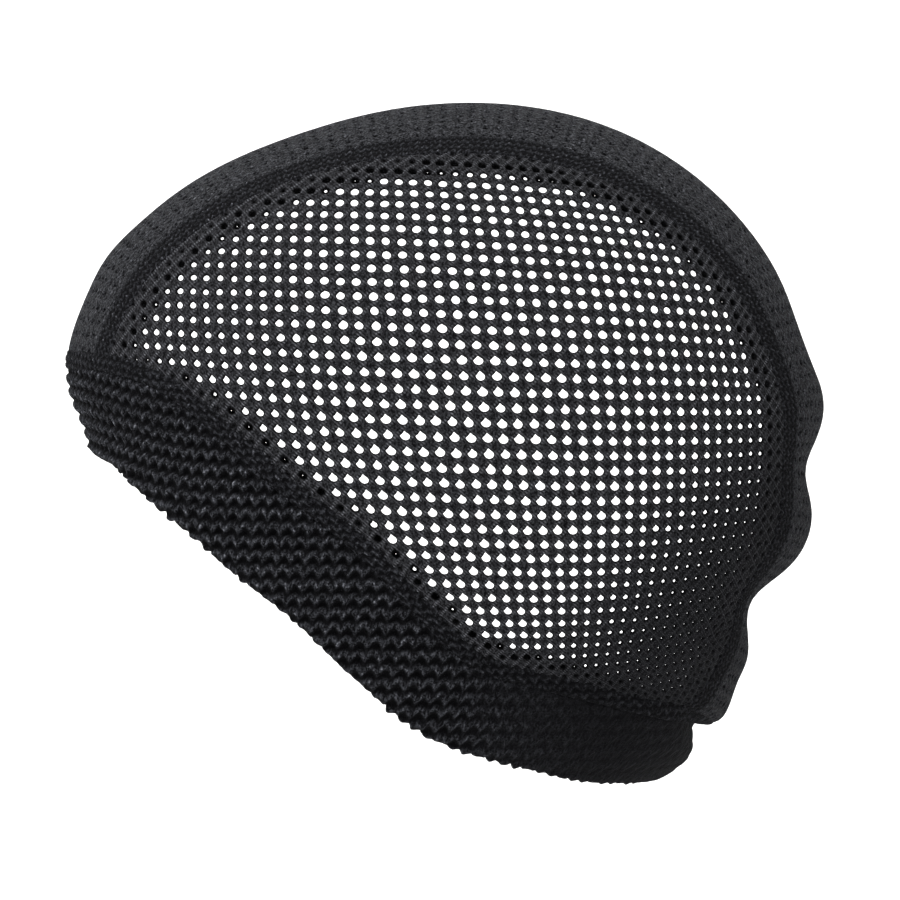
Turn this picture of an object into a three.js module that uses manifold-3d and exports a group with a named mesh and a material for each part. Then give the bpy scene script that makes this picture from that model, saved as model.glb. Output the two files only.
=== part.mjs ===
// Wig cap: a stretch-mesh dome cap in its worn form, as separate cloth walls.
// Millimetres, +Z up. The front of the cap looks along -Y and its left side is +X.
// The origin is the crown seat, on the inside of the crown over the dome's axis.

import * as THREE from 'three';
import { mergeVertices } from 'three/addons/utils/BufferGeometryUtils.js';
import Module from 'manifold-3d';

// Reach of the worn dome, from its axis, which runs from side to side.
const halfWidth = 77;
const frontReach = 106.4;
const backReach = 99.5;
const crownRise = 90.5;
const napeDrop = 108;
const foldDepth = 9;

// Strips of the cap, measured along the cloth. The crown strip is measured from the centre plane.
const crownHalfWidth = 43;
const crownSeamWidth = 7;
const hemBandWidth = 24;
const hemStitchWidth = 4.5;

// Walls. The hem is the net doubled over, and the seams are sewn through.
const netWall = 1.2;
const seamWall = 2;
const stitchWall = 2.2;
const hemWall = 2.6;

// Clearance between neighbouring pieces, and the gaps that stand for the net.
const clearance = 0.35;
const gapWidth = 14;
const gapPitch = 25;
const gapMargin = 2.5;
const gapBulge = 2.4;

// Roundness of the outline seen from the side, and of the sections across it.
const sidePower = 2.1;
const acrossPower = 2.4;

// Angles run from the back over the crown to the front. Heights are shares of foldDepth,
// and fade is the share of halfWidth at which a fold has nearly died out.
const folds = [
  { name: 'back_crown', at: 60, spread: 25, fade: 1.0, height: 0.17 },
  { name: 'brow_flat', at: 118, spread: 20, fade: 1.0, height: -0.22 },
  { name: 'brow_corner', at: 152, spread: 6, fade: 0.8, height: 0.27 },
  { name: 'front_ridge', at: 169, spread: 3, fade: 1.0, height: 0.17 },
  { name: 'front_tuck', at: 181, spread: 8, fade: 1.5, height: -1.0 },
  { name: 'back_bulge', at: 6, spread: 5, fade: 0.7, height: 0.18 },
  { name: 'slack_dip', at: -5, spread: 5, fade: 0.6, height: -0.45 },
  { name: 'slack_tuck', at: -29, spread: 6, fade: 0.55, height: -1.14 },
  { name: 'lower_dip', at: -41, spread: 3, fade: 0.6, height: -0.43 },
  { name: 'hem_notch', at: -49.3, spread: 2.0, fade: 0.7, height: -0.78 },
  { name: 'hem_roll', at: -55, spread: 4, fade: 0.8, height: 0.23 },
];

// The hem's lower edge, as a share of the dome's reach at each angle, and the band's width
// there, as a share of hemBandWidth.
const hemLine = [
  { at: 180, reach: 1.0, band: 0.83 },
  { at: 182, reach: 0.9, band: 0.88 },
  { at: 186, reach: 0.815, band: 0.97 },
  { at: 193, reach: 0.725, band: 1.0 },
  { at: 205, reach: 0.637, band: 1.0 },
  { at: 227, reach: 0.567, band: 1.0 },
  { at: 248, reach: 0.61, band: 0.96 },
  { at: 266, reach: 0.72, band: 0.94 },
  { at: 283, reach: 0.82, band: 1.0 },
  { at: 294, reach: 0.925, band: 1.02 },
  { at: 301.5, reach: 1.0, band: 0.85 },
];

// Half the crown strip's width, as a share of crownHalfWidth, from the lower back to the front.
const crownLine = [
  { at: -60, width: 0.8 },
  { at: -10, width: 0.82 },
  { at: 40, width: 0.94 },
  { at: 90, width: 1.0 },
  { at: 135, width: 0.93 },
  { at: 180, width: 0.84 },
];

// Rows of points over the dome: how many lie before, in and below the slack back.
const slackStart = 12;
const overhangStart = -40;
const crownSteps = { smooth: 15, slack: 14, overhang: 8 };
const sideSteps = { smooth: 12, slack: 9, overhang: 4 };
const crownColumns = 8;
const sideRings = 6;
const hemSteps = 46;
const hemRows = 2;
const gapSides = 6;
const gapColumns = 3;
const ringBias = 1.3;
const lineSamples = 600;
const walkStrides = 32;
const settlePasses = 4;
const halvings = 40;

// Steps along the cloth: for its slope, for the calm direction of a wall, and for merging points.
const slopeStep = 0.05;
const calmStep = 4;
const mergeStep = 0.01;

// Where the cloth lies this close to level, a gap is turned to the side instead of upright.
const levelSlope = 0.1;

const radians = THREE.MathUtils.degToRad;
const degrees = THREE.MathUtils.radToDeg;
const lerp = THREE.MathUtils.lerp;

// Smooth value of one column of a table at an angle in degrees.
function tableValue(rows, column, angle) {
  const last = rows.length - 1;
  const at = THREE.MathUtils.clamp(angle, rows[0].at, rows[last].at);
  let row = 0;
  while (row < last - 1 && at > rows[row + 1].at) row += 1;
  const slope = (index) => {
    const before = rows[Math.max(index - 1, 0)];
    const after = rows[Math.min(index + 1, last)];
    return (after[column] - before[column]) / (after.at - before.at);
  };
  const span = rows[row + 1].at - rows[row].at;
  const t = (at - rows[row].at) / span;
  const rise = rows[row + 1][column] - rows[row][column];
  const start = slope(row) * span - rise;
  const end = rise - slope(row + 1) * span;
  return rows[row][column] + t * rise + t * (1 - t) * (start * (1 - t) + end * t);
}

// Distance from the axis to the cloth at an angle, in the plane that lies x from the centre.
function domeReach(angle, x) {
  const across = Math.abs(x) / halfWidth;
  const along = Math.abs(Math.cos(angle)) / (Math.cos(angle) > 0 ? backReach : frontReach);
  const upward = Math.abs(Math.sin(angle)) / (Math.sin(angle) > 0 ? crownRise : napeDrop);
  let reach = (along ** sidePower + upward ** sidePower) ** (-1 / sidePower);
  for (const fold of folds) {
    const away = THREE.MathUtils.euclideanModulo(degrees(angle) - fold.at + 180, 360) - 180;
    const strength = Math.exp(-((away / fold.spread) ** 2) - 2 * (across / fold.fade) ** 2);
    reach += foldDepth * fold.height * strength;
  }
  return reach;
}

const axisZ = netWall - domeReach(Math.PI / 2, 0);

// Share of the full reach that is left x from the centre plane.
function reachShare(x) {
  const across = Math.min(Math.abs(x) / halfWidth, 1);
  return (1 - across ** acrossPower) ** (1 / acrossPower);
}

function domePoint(x, angle) {
  const reach = domeReach(angle, x) * reachShare(x);
  return new THREE.Vector3(x, reach * Math.cos(angle), axisZ + reach * Math.sin(angle));
}

function angleOf(point) {
  return Math.atan2(point.z - axisZ, point.y);
}

// Zero on the outer face of the cloth, negative inside the dome.
function domeLevel(point) {
  const across = Math.abs(point.x) / halfWidth;
  const away = Math.hypot(point.y, point.z - axisZ);
  return (away / domeReach(angleOf(point), point.x)) ** acrossPower + across ** acrossPower - 1;
}

function domeGradient(point, step = slopeStep) {
  const slope = (axis) => {
    const ahead = point.clone();
    const behind = point.clone();
    ahead[axis] += step;
    behind[axis] -= step;
    return (domeLevel(ahead) - domeLevel(behind)) / (2 * step);
  };
  return new THREE.Vector3(slope('x'), slope('y'), slope('z'));
}

// Moves a point onto the outer face, square to it.
function settle(point) {
  const settled = point.clone();
  for (let pass = 0; pass < settlePasses; pass += 1) {
    const gradient = domeGradient(settled);
    settled.addScaledVector(gradient, -domeLevel(settled) / gradient.lengthSq());
  }
  return settled;
}

// The x at which the dome passes over a point of the side view.
function halfWidthOver(y, z) {
  let low = 0;
  let high = halfWidth;
  for (let pass = 0; pass < halvings; pass += 1) {
    const middle = (low + high) / 2;
    if (domeLevel(new THREE.Vector3(middle, y, z)) > 0) high = middle;
    else low = middle;
  }
  return (low + high) / 2;
}

// A point of the side net by its angle and its share of the reach at the centre plane.
function discPoint(across, upward) {
  const share = Math.hypot(across, upward);
  const x = halfWidth * (1 - Math.min(share, 1) ** acrossPower) ** (1 / acrossPower);
  return domePoint(x, Math.atan2(upward, across));
}

// Points spread evenly along a line of points.
function evenPoints(points, count) {
  const lengths = [0];
  for (let index = 1; index < points.length; index += 1) {
    lengths.push(lengths[index - 1] + points[index].distanceTo(points[index - 1]));
  }
  const total = lengths[lengths.length - 1];
  const even = [];
  let index = 1;
  for (let step = 0; step <= count; step += 1) {
    const wanted = (total * step) / count;
    while (index < points.length - 1 && lengths[index] < wanted) index += 1;
    const share = (wanted - lengths[index - 1]) / (lengths[index] - lengths[index - 1]);
    even.push(points[index - 1].clone().lerp(points[index], share));
  }
  return even;
}

// The left half of the hem's lower edge, from the centre of the front to the centre of the back.
function hemEdge() {
  const front = hemLine[0].at;
  const nape = hemLine[hemLine.length - 1].at;
  const points = [];
  for (let sample = 0; sample <= lineSamples; sample += 1) {
    const t = sample / lineSamples;
    const eased = t ** acrossPower / (t ** acrossPower + (1 - t) ** acrossPower);
    const degree = lerp(front, nape, eased);
    const angle = radians(degree);
    const reach = tableValue(hemLine, 'reach', degree);
    let x = halfWidth * (1 - Math.min(reach, 1) ** acrossPower) ** (1 / acrossPower);
    if (sample === 0 || sample === lineSamples) x = 0;
    points.push(domePoint(x, angle));
  }
  return evenPoints(points, hemSteps);
}

const hemPoints = hemEdge();

// Direction along the cloth, square to the hem, away from its edge.
function upFromHem(line, index) {
  const last = line.length - 1;
  const along = line[Math.min(index + 1, last)].clone().sub(line[Math.max(index - 1, 0)]);
  if (index === 0) along.set(1, 0, 0);
  if (index === last) along.set(-1, 0, 0);
  const outward = domeGradient(line[index]).normalize();
  return outward.cross(along.normalize()).normalize();
}

// The line that lies a given distance up the cloth from the hem, by walking square to it.
function lineAboveHem(distanceAt) {
  let line = hemPoints;
  for (let stride = 0; stride < walkStrides; stride += 1) {
    line = line.map((point, index) => {
      const length = distanceAt(index) / walkStrides;
      const next = settle(point.clone().addScaledVector(upFromHem(line, index), length));
      if (index === 0 || index === line.length - 1) next.x = 0;
      return next;
    });
  }
  return line;
}

function bandWidthAt(index) {
  const degree = THREE.MathUtils.euclideanModulo(degrees(angleOf(hemPoints[index])), 360);
  return hemBandWidth * tableValue(hemLine, 'band', degree);
}

const bandLines = [];
for (let row = 0; row <= hemRows; row += 1) {
  const share = row / hemRows;
  bandLines.push(row === 0 ? hemPoints : lineAboveHem((index) => bandWidthAt(index) * share));
}
const stitchLines = [
  lineAboveHem((index) => bandWidthAt(index) + clearance),
  lineAboveHem((index) => bandWidthAt(index) + clearance + hemStitchWidth),
];
const netLine = lineAboveHem((index) => bandWidthAt(index) + 2 * clearance + hemStitchWidth);

// The angle that runs from the lower back, below zero, over the crown to the front.
function crownAngle(point) {
  const degree = degrees(angleOf(point));
  return degree < -90 ? degree + 360 : degree;
}

// Half width of the crown strip at an angle in degrees, plus a distance past its edge.
function stripEdge(degree, past) {
  return crownHalfWidth * tableValue(crownLine, 'width', degree) + past;
}

// Where a lengthwise line of the crown meets the net line, at the front and at the back.
function stripEnds(lineAt) {
  const aside = netLine.map((point) => point.x - lineAt(crownAngle(point)));
  const crossings = [];
  for (let index = 1; index < netLine.length; index += 1) {
    if (aside[index - 1] <= 0 !== aside[index] <= 0) {
      const share = aside[index - 1] / (aside[index - 1] - aside[index]);
      crossings.push(netLine[index - 1].clone().lerp(netLine[index], share));
    }
  }
  return { front: crossings[0], nape: crossings[crossings.length - 1] };
}

// Angles of the stations between two ends, closest together at the slack back.
function crownStations(front, nape, counts) {
  const stations = [];
  const add = (from, to, steps) => {
    for (let step = 0; step < steps; step += 1) stations.push(lerp(from, to, step / steps));
  };
  add(front, slackStart, counts.smooth);
  add(slackStart, overhangStart, counts.slack);
  add(overhangStart, nape, counts.overhang);
  stations.push(nape);
  return stations;
}

// One lengthwise line of the crown. lineAt gives its distance from the centre plane.
function crownLengthLine(lineAt, side, counts = crownSteps) {
  const ends = stripEnds(lineAt);
  const stations = crownStations(crownAngle(ends.front), crownAngle(ends.nape), counts);
  const line = stations.map((degree) => domePoint(lineAt(degree), radians(degree)));
  line[0] = ends.front;
  line[line.length - 1] = ends.nape;
  return line.map((point) => new THREE.Vector3(side * point.x, point.y, point.z));
}

// A closed wall from rows of points on the outer face. All rows have as many points. The wall
// goes inward along a direction that is calm over the sharp folds, so that edges stay apart.
function clothWall(rows, thickness, loops) {
  const inner = rows.map((row) => row.map((point) => {
    const outward = domeGradient(point, calmStep).normalize();
    return point.clone().addScaledVector(outward, -thickness);
  }));
  const triangles = [];
  const quad = (a, b, c, d) => triangles.push([a, b, c], [a, c, d]);
  const length = rows[0].length;
  const spans = loops ? length : length - 1;
  for (let row = 0; row < rows.length - 1; row += 1) {
    for (let index = 0; index < spans; index += 1) {
      const next = (index + 1) % length;
      quad(rows[row][index], rows[row][next], rows[row + 1][next], rows[row + 1][index]);
      quad(inner[row][index], inner[row + 1][index], inner[row + 1][next], inner[row][next]);
    }
  }
  const last = rows.length - 1;
  for (let index = 0; index < spans; index += 1) {
    const next = (index + 1) % length;
    quad(rows[0][next], rows[0][index], inner[0][index], inner[0][next]);
    quad(rows[last][index], rows[last][next], inner[last][next], inner[last][index]);
  }
  if (!loops) {
    const end = length - 1;
    for (let row = 0; row < last; row += 1) {
      quad(rows[row][0], rows[row + 1][0], inner[row + 1][0], inner[row][0]);
      quad(rows[row + 1][end], rows[row][end], inner[row][end], inner[row + 1][end]);
    }
  }
  return triangles;
}

// A merged geometry without the triangles that have no area.
function closedGeometry(triangles) {
  const corners = triangles.flat().flatMap((point) => [point.x, point.y, point.z]);
  const loose = new THREE.BufferGeometry();
  loose.setAttribute('position', new THREE.Float32BufferAttribute(corners, 3));
  const merged = mergeVertices(loose, mergeStep);
  const index = Array.from(merged.index.array);
  const kept = [];
  for (let corner = 0; corner < index.length; corner += 3) {
    const [a, b, c] = index.slice(corner, corner + 3);
    if (a !== b && b !== c && a !== c) kept.push(a, b, c);
  }
  merged.setIndex(kept);
  return merged;
}

const wasm = await Module();
wasm.setup();

function toSolid(geometry) {
  return new wasm.Manifold(new wasm.Mesh({
    numProp: 3,
    vertProperties: new Float32Array(geometry.attributes.position.array),
    triVerts: new Uint32Array(geometry.index.array),
  }));
}

function toGeometry(solid) {
  const mesh = solid.getMesh();
  const geometry = new THREE.BufferGeometry();
  geometry.setAttribute('position', new THREE.BufferAttribute(mesh.vertProperties, 3));
  geometry.setIndex(new THREE.BufferAttribute(mesh.triVerts, 1));
  return geometry;
}

// A short prism that stands square to the cloth, with a corner towards the crown.
function gapPrism(point) {
  const outward = domeGradient(point).normalize();
  const upright = new THREE.Vector3(0, 0, 1);
  const side = upright.clone().cross(outward);
  if (side.length() < levelSlope) side.set(1, 0, 0);
  side.normalize();
  const up = outward.clone().cross(side);
  const ring = (offset) => {
    const corners = [];
    for (let corner = 0; corner < gapSides; corner += 1) {
      const turn = (2 * Math.PI * corner) / gapSides;
      corners.push(point.clone()
        .addScaledVector(up, (gapWidth / 2) * Math.cos(turn))
        .addScaledVector(side, -(gapWidth / 2) * Math.sin(turn))
        .addScaledVector(outward, offset));
    }
    return corners;
  };
  const depth = netWall + gapBulge;
  const top = ring(depth);
  const bottom = ring(-depth);
  const triangles = [];
  for (let corner = 0; corner < gapSides; corner += 1) {
    const next = (corner + 1) % gapSides;
    triangles.push([bottom[corner], bottom[next], top[next]], [bottom[corner], top[next], top[corner]]);
    if (corner > 0 && corner < gapSides - 1) {
      triangles.push([top[0], top[corner], top[next]], [bottom[0], bottom[next], bottom[corner]]);
    }
  }
  return toSolid(closedGeometry(triangles));
}

function cutGaps(geometry, points) {
  let solid = toSolid(geometry);
  for (const point of points) solid = solid.subtract(gapPrism(point));
  return toGeometry(solid);
}

// Lengthwise lines of the crown strip and rows of its gaps.
function crownRows() {
  const rows = [];
  for (let column = 0; column <= crownColumns; column += 1) {
    const share = 1 - (2 * column) / crownColumns;
    rows.push(crownLengthLine((degree) => Math.abs(share) * stripEdge(degree, 0), Math.sign(share)));
  }
  return rows;
}

function crownGaps() {
  const centre = evenPoints(crownLengthLine(() => 0, 1), lineSamples);
  const reachAlong = [0];
  for (let index = 1; index < centre.length; index += 1) {
    reachAlong.push(reachAlong[index - 1] + centre[index].distanceTo(centre[index - 1]));
  }
  const length = reachAlong[reachAlong.length - 1];
  const edge = gapWidth / 2 + gapMargin;
  const rows = Math.floor((length - 2 * edge) / gapPitch);
  const start = (length - rows * gapPitch) / 2;
  const points = [];
  for (let row = 0; row <= rows; row += 1) {
    const index = reachAlong.findIndex((value) => value >= start + row * gapPitch);
    const degree = crownAngle(centre[index]);
    for (let column = 0; column < gapColumns; column += 1) {
      const share = (2 * column + 1) / gapColumns - 1;
      points.push(domePoint(share * stripEdge(degree, 0), radians(degree)));
    }
  }
  return points;
}

function seamRows(side) {
  const past = side > 0 ? [1, 0] : [0, 1];
  return past.map((share) => {
    const beside = clearance + share * crownSeamWidth;
    return crownLengthLine((degree) => stripEdge(degree, beside), side);
  });
}

// The side net lies between the crown seam and the net line above the hem.
function sideOutline() {
  const beside = 2 * clearance + crownSeamWidth;
  const edgeAt = (degree) => stripEdge(degree, beside);
  const seamSide = crownLengthLine(edgeAt, 1, sideSteps);
  const ends = stripEnds(edgeAt);
  const between = netLine.filter((point) => point.x > edgeAt(crownAngle(point)));
  const hemSide = evenPoints([ends.front, ...between, ends.nape], seamSide.length - 1);
  return { seamSide, hemSide };
}

function toDisc(point) {
  const share = reachShare(point.x);
  const angle = angleOf(point);
  return [share * Math.cos(angle), share * Math.sin(angle)];
}

function sideRows(outline, side) {
  const rows = [];
  const seamDisc = outline.seamSide.map(toDisc);
  const hemDisc = outline.hemSide.map((point) => toDisc(settle(point)));
  for (let ring = 0; ring <= sideRings; ring += 1) {
    const share = (ring / sideRings) ** ringBias;
    const row = seamDisc.map((start, index) => {
      const end = index === 0 || index === seamDisc.length - 1 ? start : hemDisc[index];
      const point = discPoint(lerp(start[0], end[0], share), lerp(start[1], end[1], share));
      point.x *= side;
      return point;
    });
    rows.push(row);
  }
  return side > 0 ? rows.reverse() : rows;
}

function insideOutline(outline, y, z) {
  const ring = [...outline.seamSide, ...outline.hemSide.slice(1, -1).reverse()];
  let inside = false;
  for (let index = 0; index < ring.length; index += 1) {
    const a = ring[index];
    const b = ring[(index + 1) % ring.length];
    const crosses = a.z > z !== b.z > z;
    if (crosses && y < a.y + ((z - a.z) / (b.z - a.z)) * (b.y - a.y)) inside = !inside;
  }
  return inside;
}

function sideGaps(outline, side) {
  const reach = Math.ceil(frontReach / gapPitch) + 2;
  const ring = [...outline.seamSide, ...outline.hemSide];
  const edge = gapWidth / 2 + gapMargin;
  const points = [];
  for (let row = -reach; row <= reach; row += 1) {
    for (let column = -reach; column <= reach; column += 1) {
      const along = (column * gapPitch) / frontReach;
      const upward = ((row + 0.5) * gapPitch) / crownRise;
      const y = frontReach * Math.sin(along);
      const z = axisZ + crownRise * Math.sin(upward);
      const facing = Math.max(Math.abs(along), Math.abs(upward)) < Math.PI / 2;
      if (facing && insideOutline(outline, y, z)) {
        const point = new THREE.Vector3(halfWidthOver(y, z), y, z);
        if (ring.every((other) => other.distanceTo(point) > edge)) {
          point.x *= side;
          points.push(point);
        }
      }
    }
  }
  return points;
}

// Both halves of a line above the hem, joined into one loop.
function loopOf(line) {
  const right = line.slice(1, -1).reverse().map((point) => new THREE.Vector3(-point.x, point.y, point.z));
  return [...line, ...right];
}

const netCloth = { color: 0x17171a, roughness: 0.92, metalness: 0 };
const seamCloth = { color: 0x1b1b1e, roughness: 0.9, metalness: 0 };
const hemCloth = { color: 0x131316, roughness: 0.95, metalness: 0 };

const cap = new THREE.Group();

function addPiece(name, geometry, cloth) {
  const mesh = new THREE.Mesh(geometry, new THREE.MeshStandardMaterial(cloth));
  mesh.name = name;
  cap.add(mesh);
}

addPiece('crown_strip', cutGaps(closedGeometry(clothWall(crownRows(), netWall, false)), crownGaps()), netCloth);

const outline = sideOutline();
for (const [name, side] of [['left', 1], ['right', -1]]) {
  addPiece(`crown_seam_${name}`, closedGeometry(clothWall(seamRows(side), seamWall, false)), seamCloth);
  const net = closedGeometry(clothWall(sideRows(outline, side), netWall, false));
  addPiece(`side_net_${name}`, cutGaps(net, sideGaps(outline, side)), netCloth);
}

addPiece('hem_band', closedGeometry(clothWall(bandLines.map(loopOf), hemWall, true)), hemCloth);
addPiece('hem_stitching', closedGeometry(clothWall(stitchLines.map(loopOf), stitchWall, true)), seamCloth);

export default cap;
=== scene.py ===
"""Looks of a worn stretch-mesh wig cap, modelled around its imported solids.

Metres, +Z up. The front of the cap looks along -Y and its left side is +X.
"""

import logging
import math
from dataclasses import dataclass, field
from enum import Enum
from typing import Any, Optional, Sequence, Union

import bpy
import numpy as np
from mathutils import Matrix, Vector
from mathutils.kdtree import KDTree

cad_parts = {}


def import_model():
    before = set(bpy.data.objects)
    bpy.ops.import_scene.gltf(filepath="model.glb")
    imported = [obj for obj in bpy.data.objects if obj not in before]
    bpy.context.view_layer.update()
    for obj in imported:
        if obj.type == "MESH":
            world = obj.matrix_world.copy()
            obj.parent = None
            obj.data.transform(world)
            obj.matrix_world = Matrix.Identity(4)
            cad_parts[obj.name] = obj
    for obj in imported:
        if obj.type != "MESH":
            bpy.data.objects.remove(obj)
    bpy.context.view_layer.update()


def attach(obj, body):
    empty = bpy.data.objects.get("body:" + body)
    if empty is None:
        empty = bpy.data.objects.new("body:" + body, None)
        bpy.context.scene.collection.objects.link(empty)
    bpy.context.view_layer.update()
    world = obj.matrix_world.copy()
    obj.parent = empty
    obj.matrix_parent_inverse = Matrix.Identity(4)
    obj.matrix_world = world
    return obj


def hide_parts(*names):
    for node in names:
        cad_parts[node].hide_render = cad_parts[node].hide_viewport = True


log = logging.getLogger("wig_cap")

# Name of the point attribute that holds the painted light share, from 0 in painted shade to 1 on
# lit crests.
PAINTED_LIGHT = "crest"

# The right net is widened by what the camera's distance takes off its far side.
CAMERA_AWAY = 2.20
CAMERA_Z = -0.0921

Number = Union[float, np.ndarray]


class Slot(Enum):
    """Kinds of finish, one for each material."""

    NET = "net"
    SEAM = "seam"
    HEM = "hem"


class Side(Enum):
    """The two mirrored halves, by the sign of their X."""

    LEFT = 1.0
    RIGHT = -1.0


class Draw(Enum):
    """Sets of fixed random numbers, one for each thing that varies."""

    HOLE_SIZE = 1
    HOLE_ASIDE = 2
    HOLE_ABOVE = 3
    HOLE_LEAN = 4
    HOLE_PHASE = 5
    BORDER_X = 6
    BORDER_Y = 7
    NUB = 8
    LOOP_ASIDE = 9
    LOOP_ABOVE = 10
    PIT_DEPTH = 11


@dataclass(frozen=True)
class Fold:
    """A bulge or dent that runs across the dome. Angles are in degrees."""

    at: float
    spread: float
    fade: float
    height: float


@dataclass(frozen=True)
class HemStation:
    """Where the hem's lower edge lies at an angle, and how wide the band is there."""

    at: float
    reach: float
    band: float


@dataclass(frozen=True)
class CrownStation:
    """Half the crown strip's width at an angle."""

    at: float
    width: float


FOLDS = (
    Fold(at=60, spread=25, fade=1.0, height=0.13),
    Fold(at=118, spread=20, fade=1.0, height=-0.26),
    Fold(at=152, spread=6, fade=0.8, height=0.12),
    Fold(at=169, spread=3, fade=1.0, height=-0.03),
    Fold(at=181, spread=8, fade=1.5, height=-1.0),
    Fold(at=18, spread=7, fade=1.0, height=-0.10),
    Fold(at=6, spread=5, fade=0.7, height=0.18),
    Fold(at=-5, spread=5, fade=0.6, height=-0.45),
    Fold(at=-23, spread=6, fade=1.0, height=-0.34),
    Fold(at=-29, spread=6, fade=0.8, height=-1.08),
    Fold(at=-33.5, spread=5, fade=1.0, height=-0.20),
    Fold(at=-40, spread=4, fade=0.8, height=-0.30),
    Fold(at=-49.3, spread=2.0, fade=0.7, height=-0.6),
    Fold(at=-55, spread=4, fade=0.8, height=0.12),
)

HEM_STATIONS = (
    HemStation(at=180, reach=1.0, band=0.83),
    HemStation(at=182, reach=0.9, band=0.88),
    HemStation(at=186, reach=0.815, band=0.97),
    HemStation(at=193, reach=0.725, band=1.0),
    HemStation(at=205, reach=0.637, band=1.0),
    HemStation(at=227, reach=0.567, band=1.0),
    HemStation(at=248, reach=0.61, band=0.96),
    HemStation(at=266, reach=0.72, band=0.94),
    HemStation(at=283, reach=0.82, band=1.0),
    HemStation(at=294, reach=0.925, band=1.02),
    HemStation(at=301.5, reach=1.0, band=0.85),
)

CROWN_STATIONS = (
    CrownStation(at=-60, width=0.8),
    CrownStation(at=-10, width=0.82),
    CrownStation(at=40, width=0.94),
    CrownStation(at=90, width=1.0),
    CrownStation(at=135, width=0.93),
    CrownStation(at=180, width=0.84),
)


def table_value(rows: Sequence[Any], column: str, angle: Number) -> np.ndarray:
    """Smooth value of one column of a table of stations.

    Args:
        rows: The stations, in rising order of their angle.
        column: The name of the column to read.
        angle: Angles in degrees.

    Returns:
        The column's value at each angle.
    """
    at = np.array([row.at for row in rows], float)
    value = np.array([getattr(row, column) for row in rows], float)
    last = len(rows) - 1
    before = np.maximum(np.arange(last + 1) - 1, 0)
    after = np.minimum(np.arange(last + 1) + 1, last)
    slope = (value[after] - value[before]) / (at[after] - at[before])
    angle = np.clip(np.asarray(angle, float), at[0], at[-1])
    row = np.clip(np.searchsorted(at, angle, side="right") - 1, 0, last - 1)
    span = at[row + 1] - at[row]
    t = (angle - at[row]) / span
    rise = value[row + 1] - value[row]
    start = slope[row] * span - rise
    end = rise - slope[row + 1] * span
    return value[row] + t * rise + t * (1 - t) * (start * (1 - t) + end * t)


def scatter(column: np.ndarray, row: np.ndarray, draw: Draw) -> np.ndarray:
    """A fixed random number from -1 to 1 for each place of a lattice.

    Args:
        column: Column numbers.
        row: Row numbers.
        draw: The set of numbers.

    Returns:
        One number for each place.
    """
    wave = np.sin(column * 12.9898 + row * 78.233 + draw.value * 37.719) * 43758.5453
    return 2 * (wave - np.floor(wave)) - 1


def smooth_step(value: Number, low: float, high: float) -> np.ndarray:
    """Rises smoothly from 0 at low to 1 at high."""
    t = np.clip((np.asarray(value, float) - low) / (high - low), 0, 1)
    return t * t * (3 - 2 * t)


def crown_range(degree: np.ndarray) -> np.ndarray:
    """Angles from -90 to 270 degrees, which rise from the lower back over the crown."""
    return np.where(degree < -90, degree + 360, degree)


def running_length(line: np.ndarray) -> np.ndarray:
    """Length along a line of points, from its first point to each."""
    steps = np.linalg.norm(np.diff(line, axis=0), axis=1)
    return np.concatenate([[0.0], np.cumsum(steps)])


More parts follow.
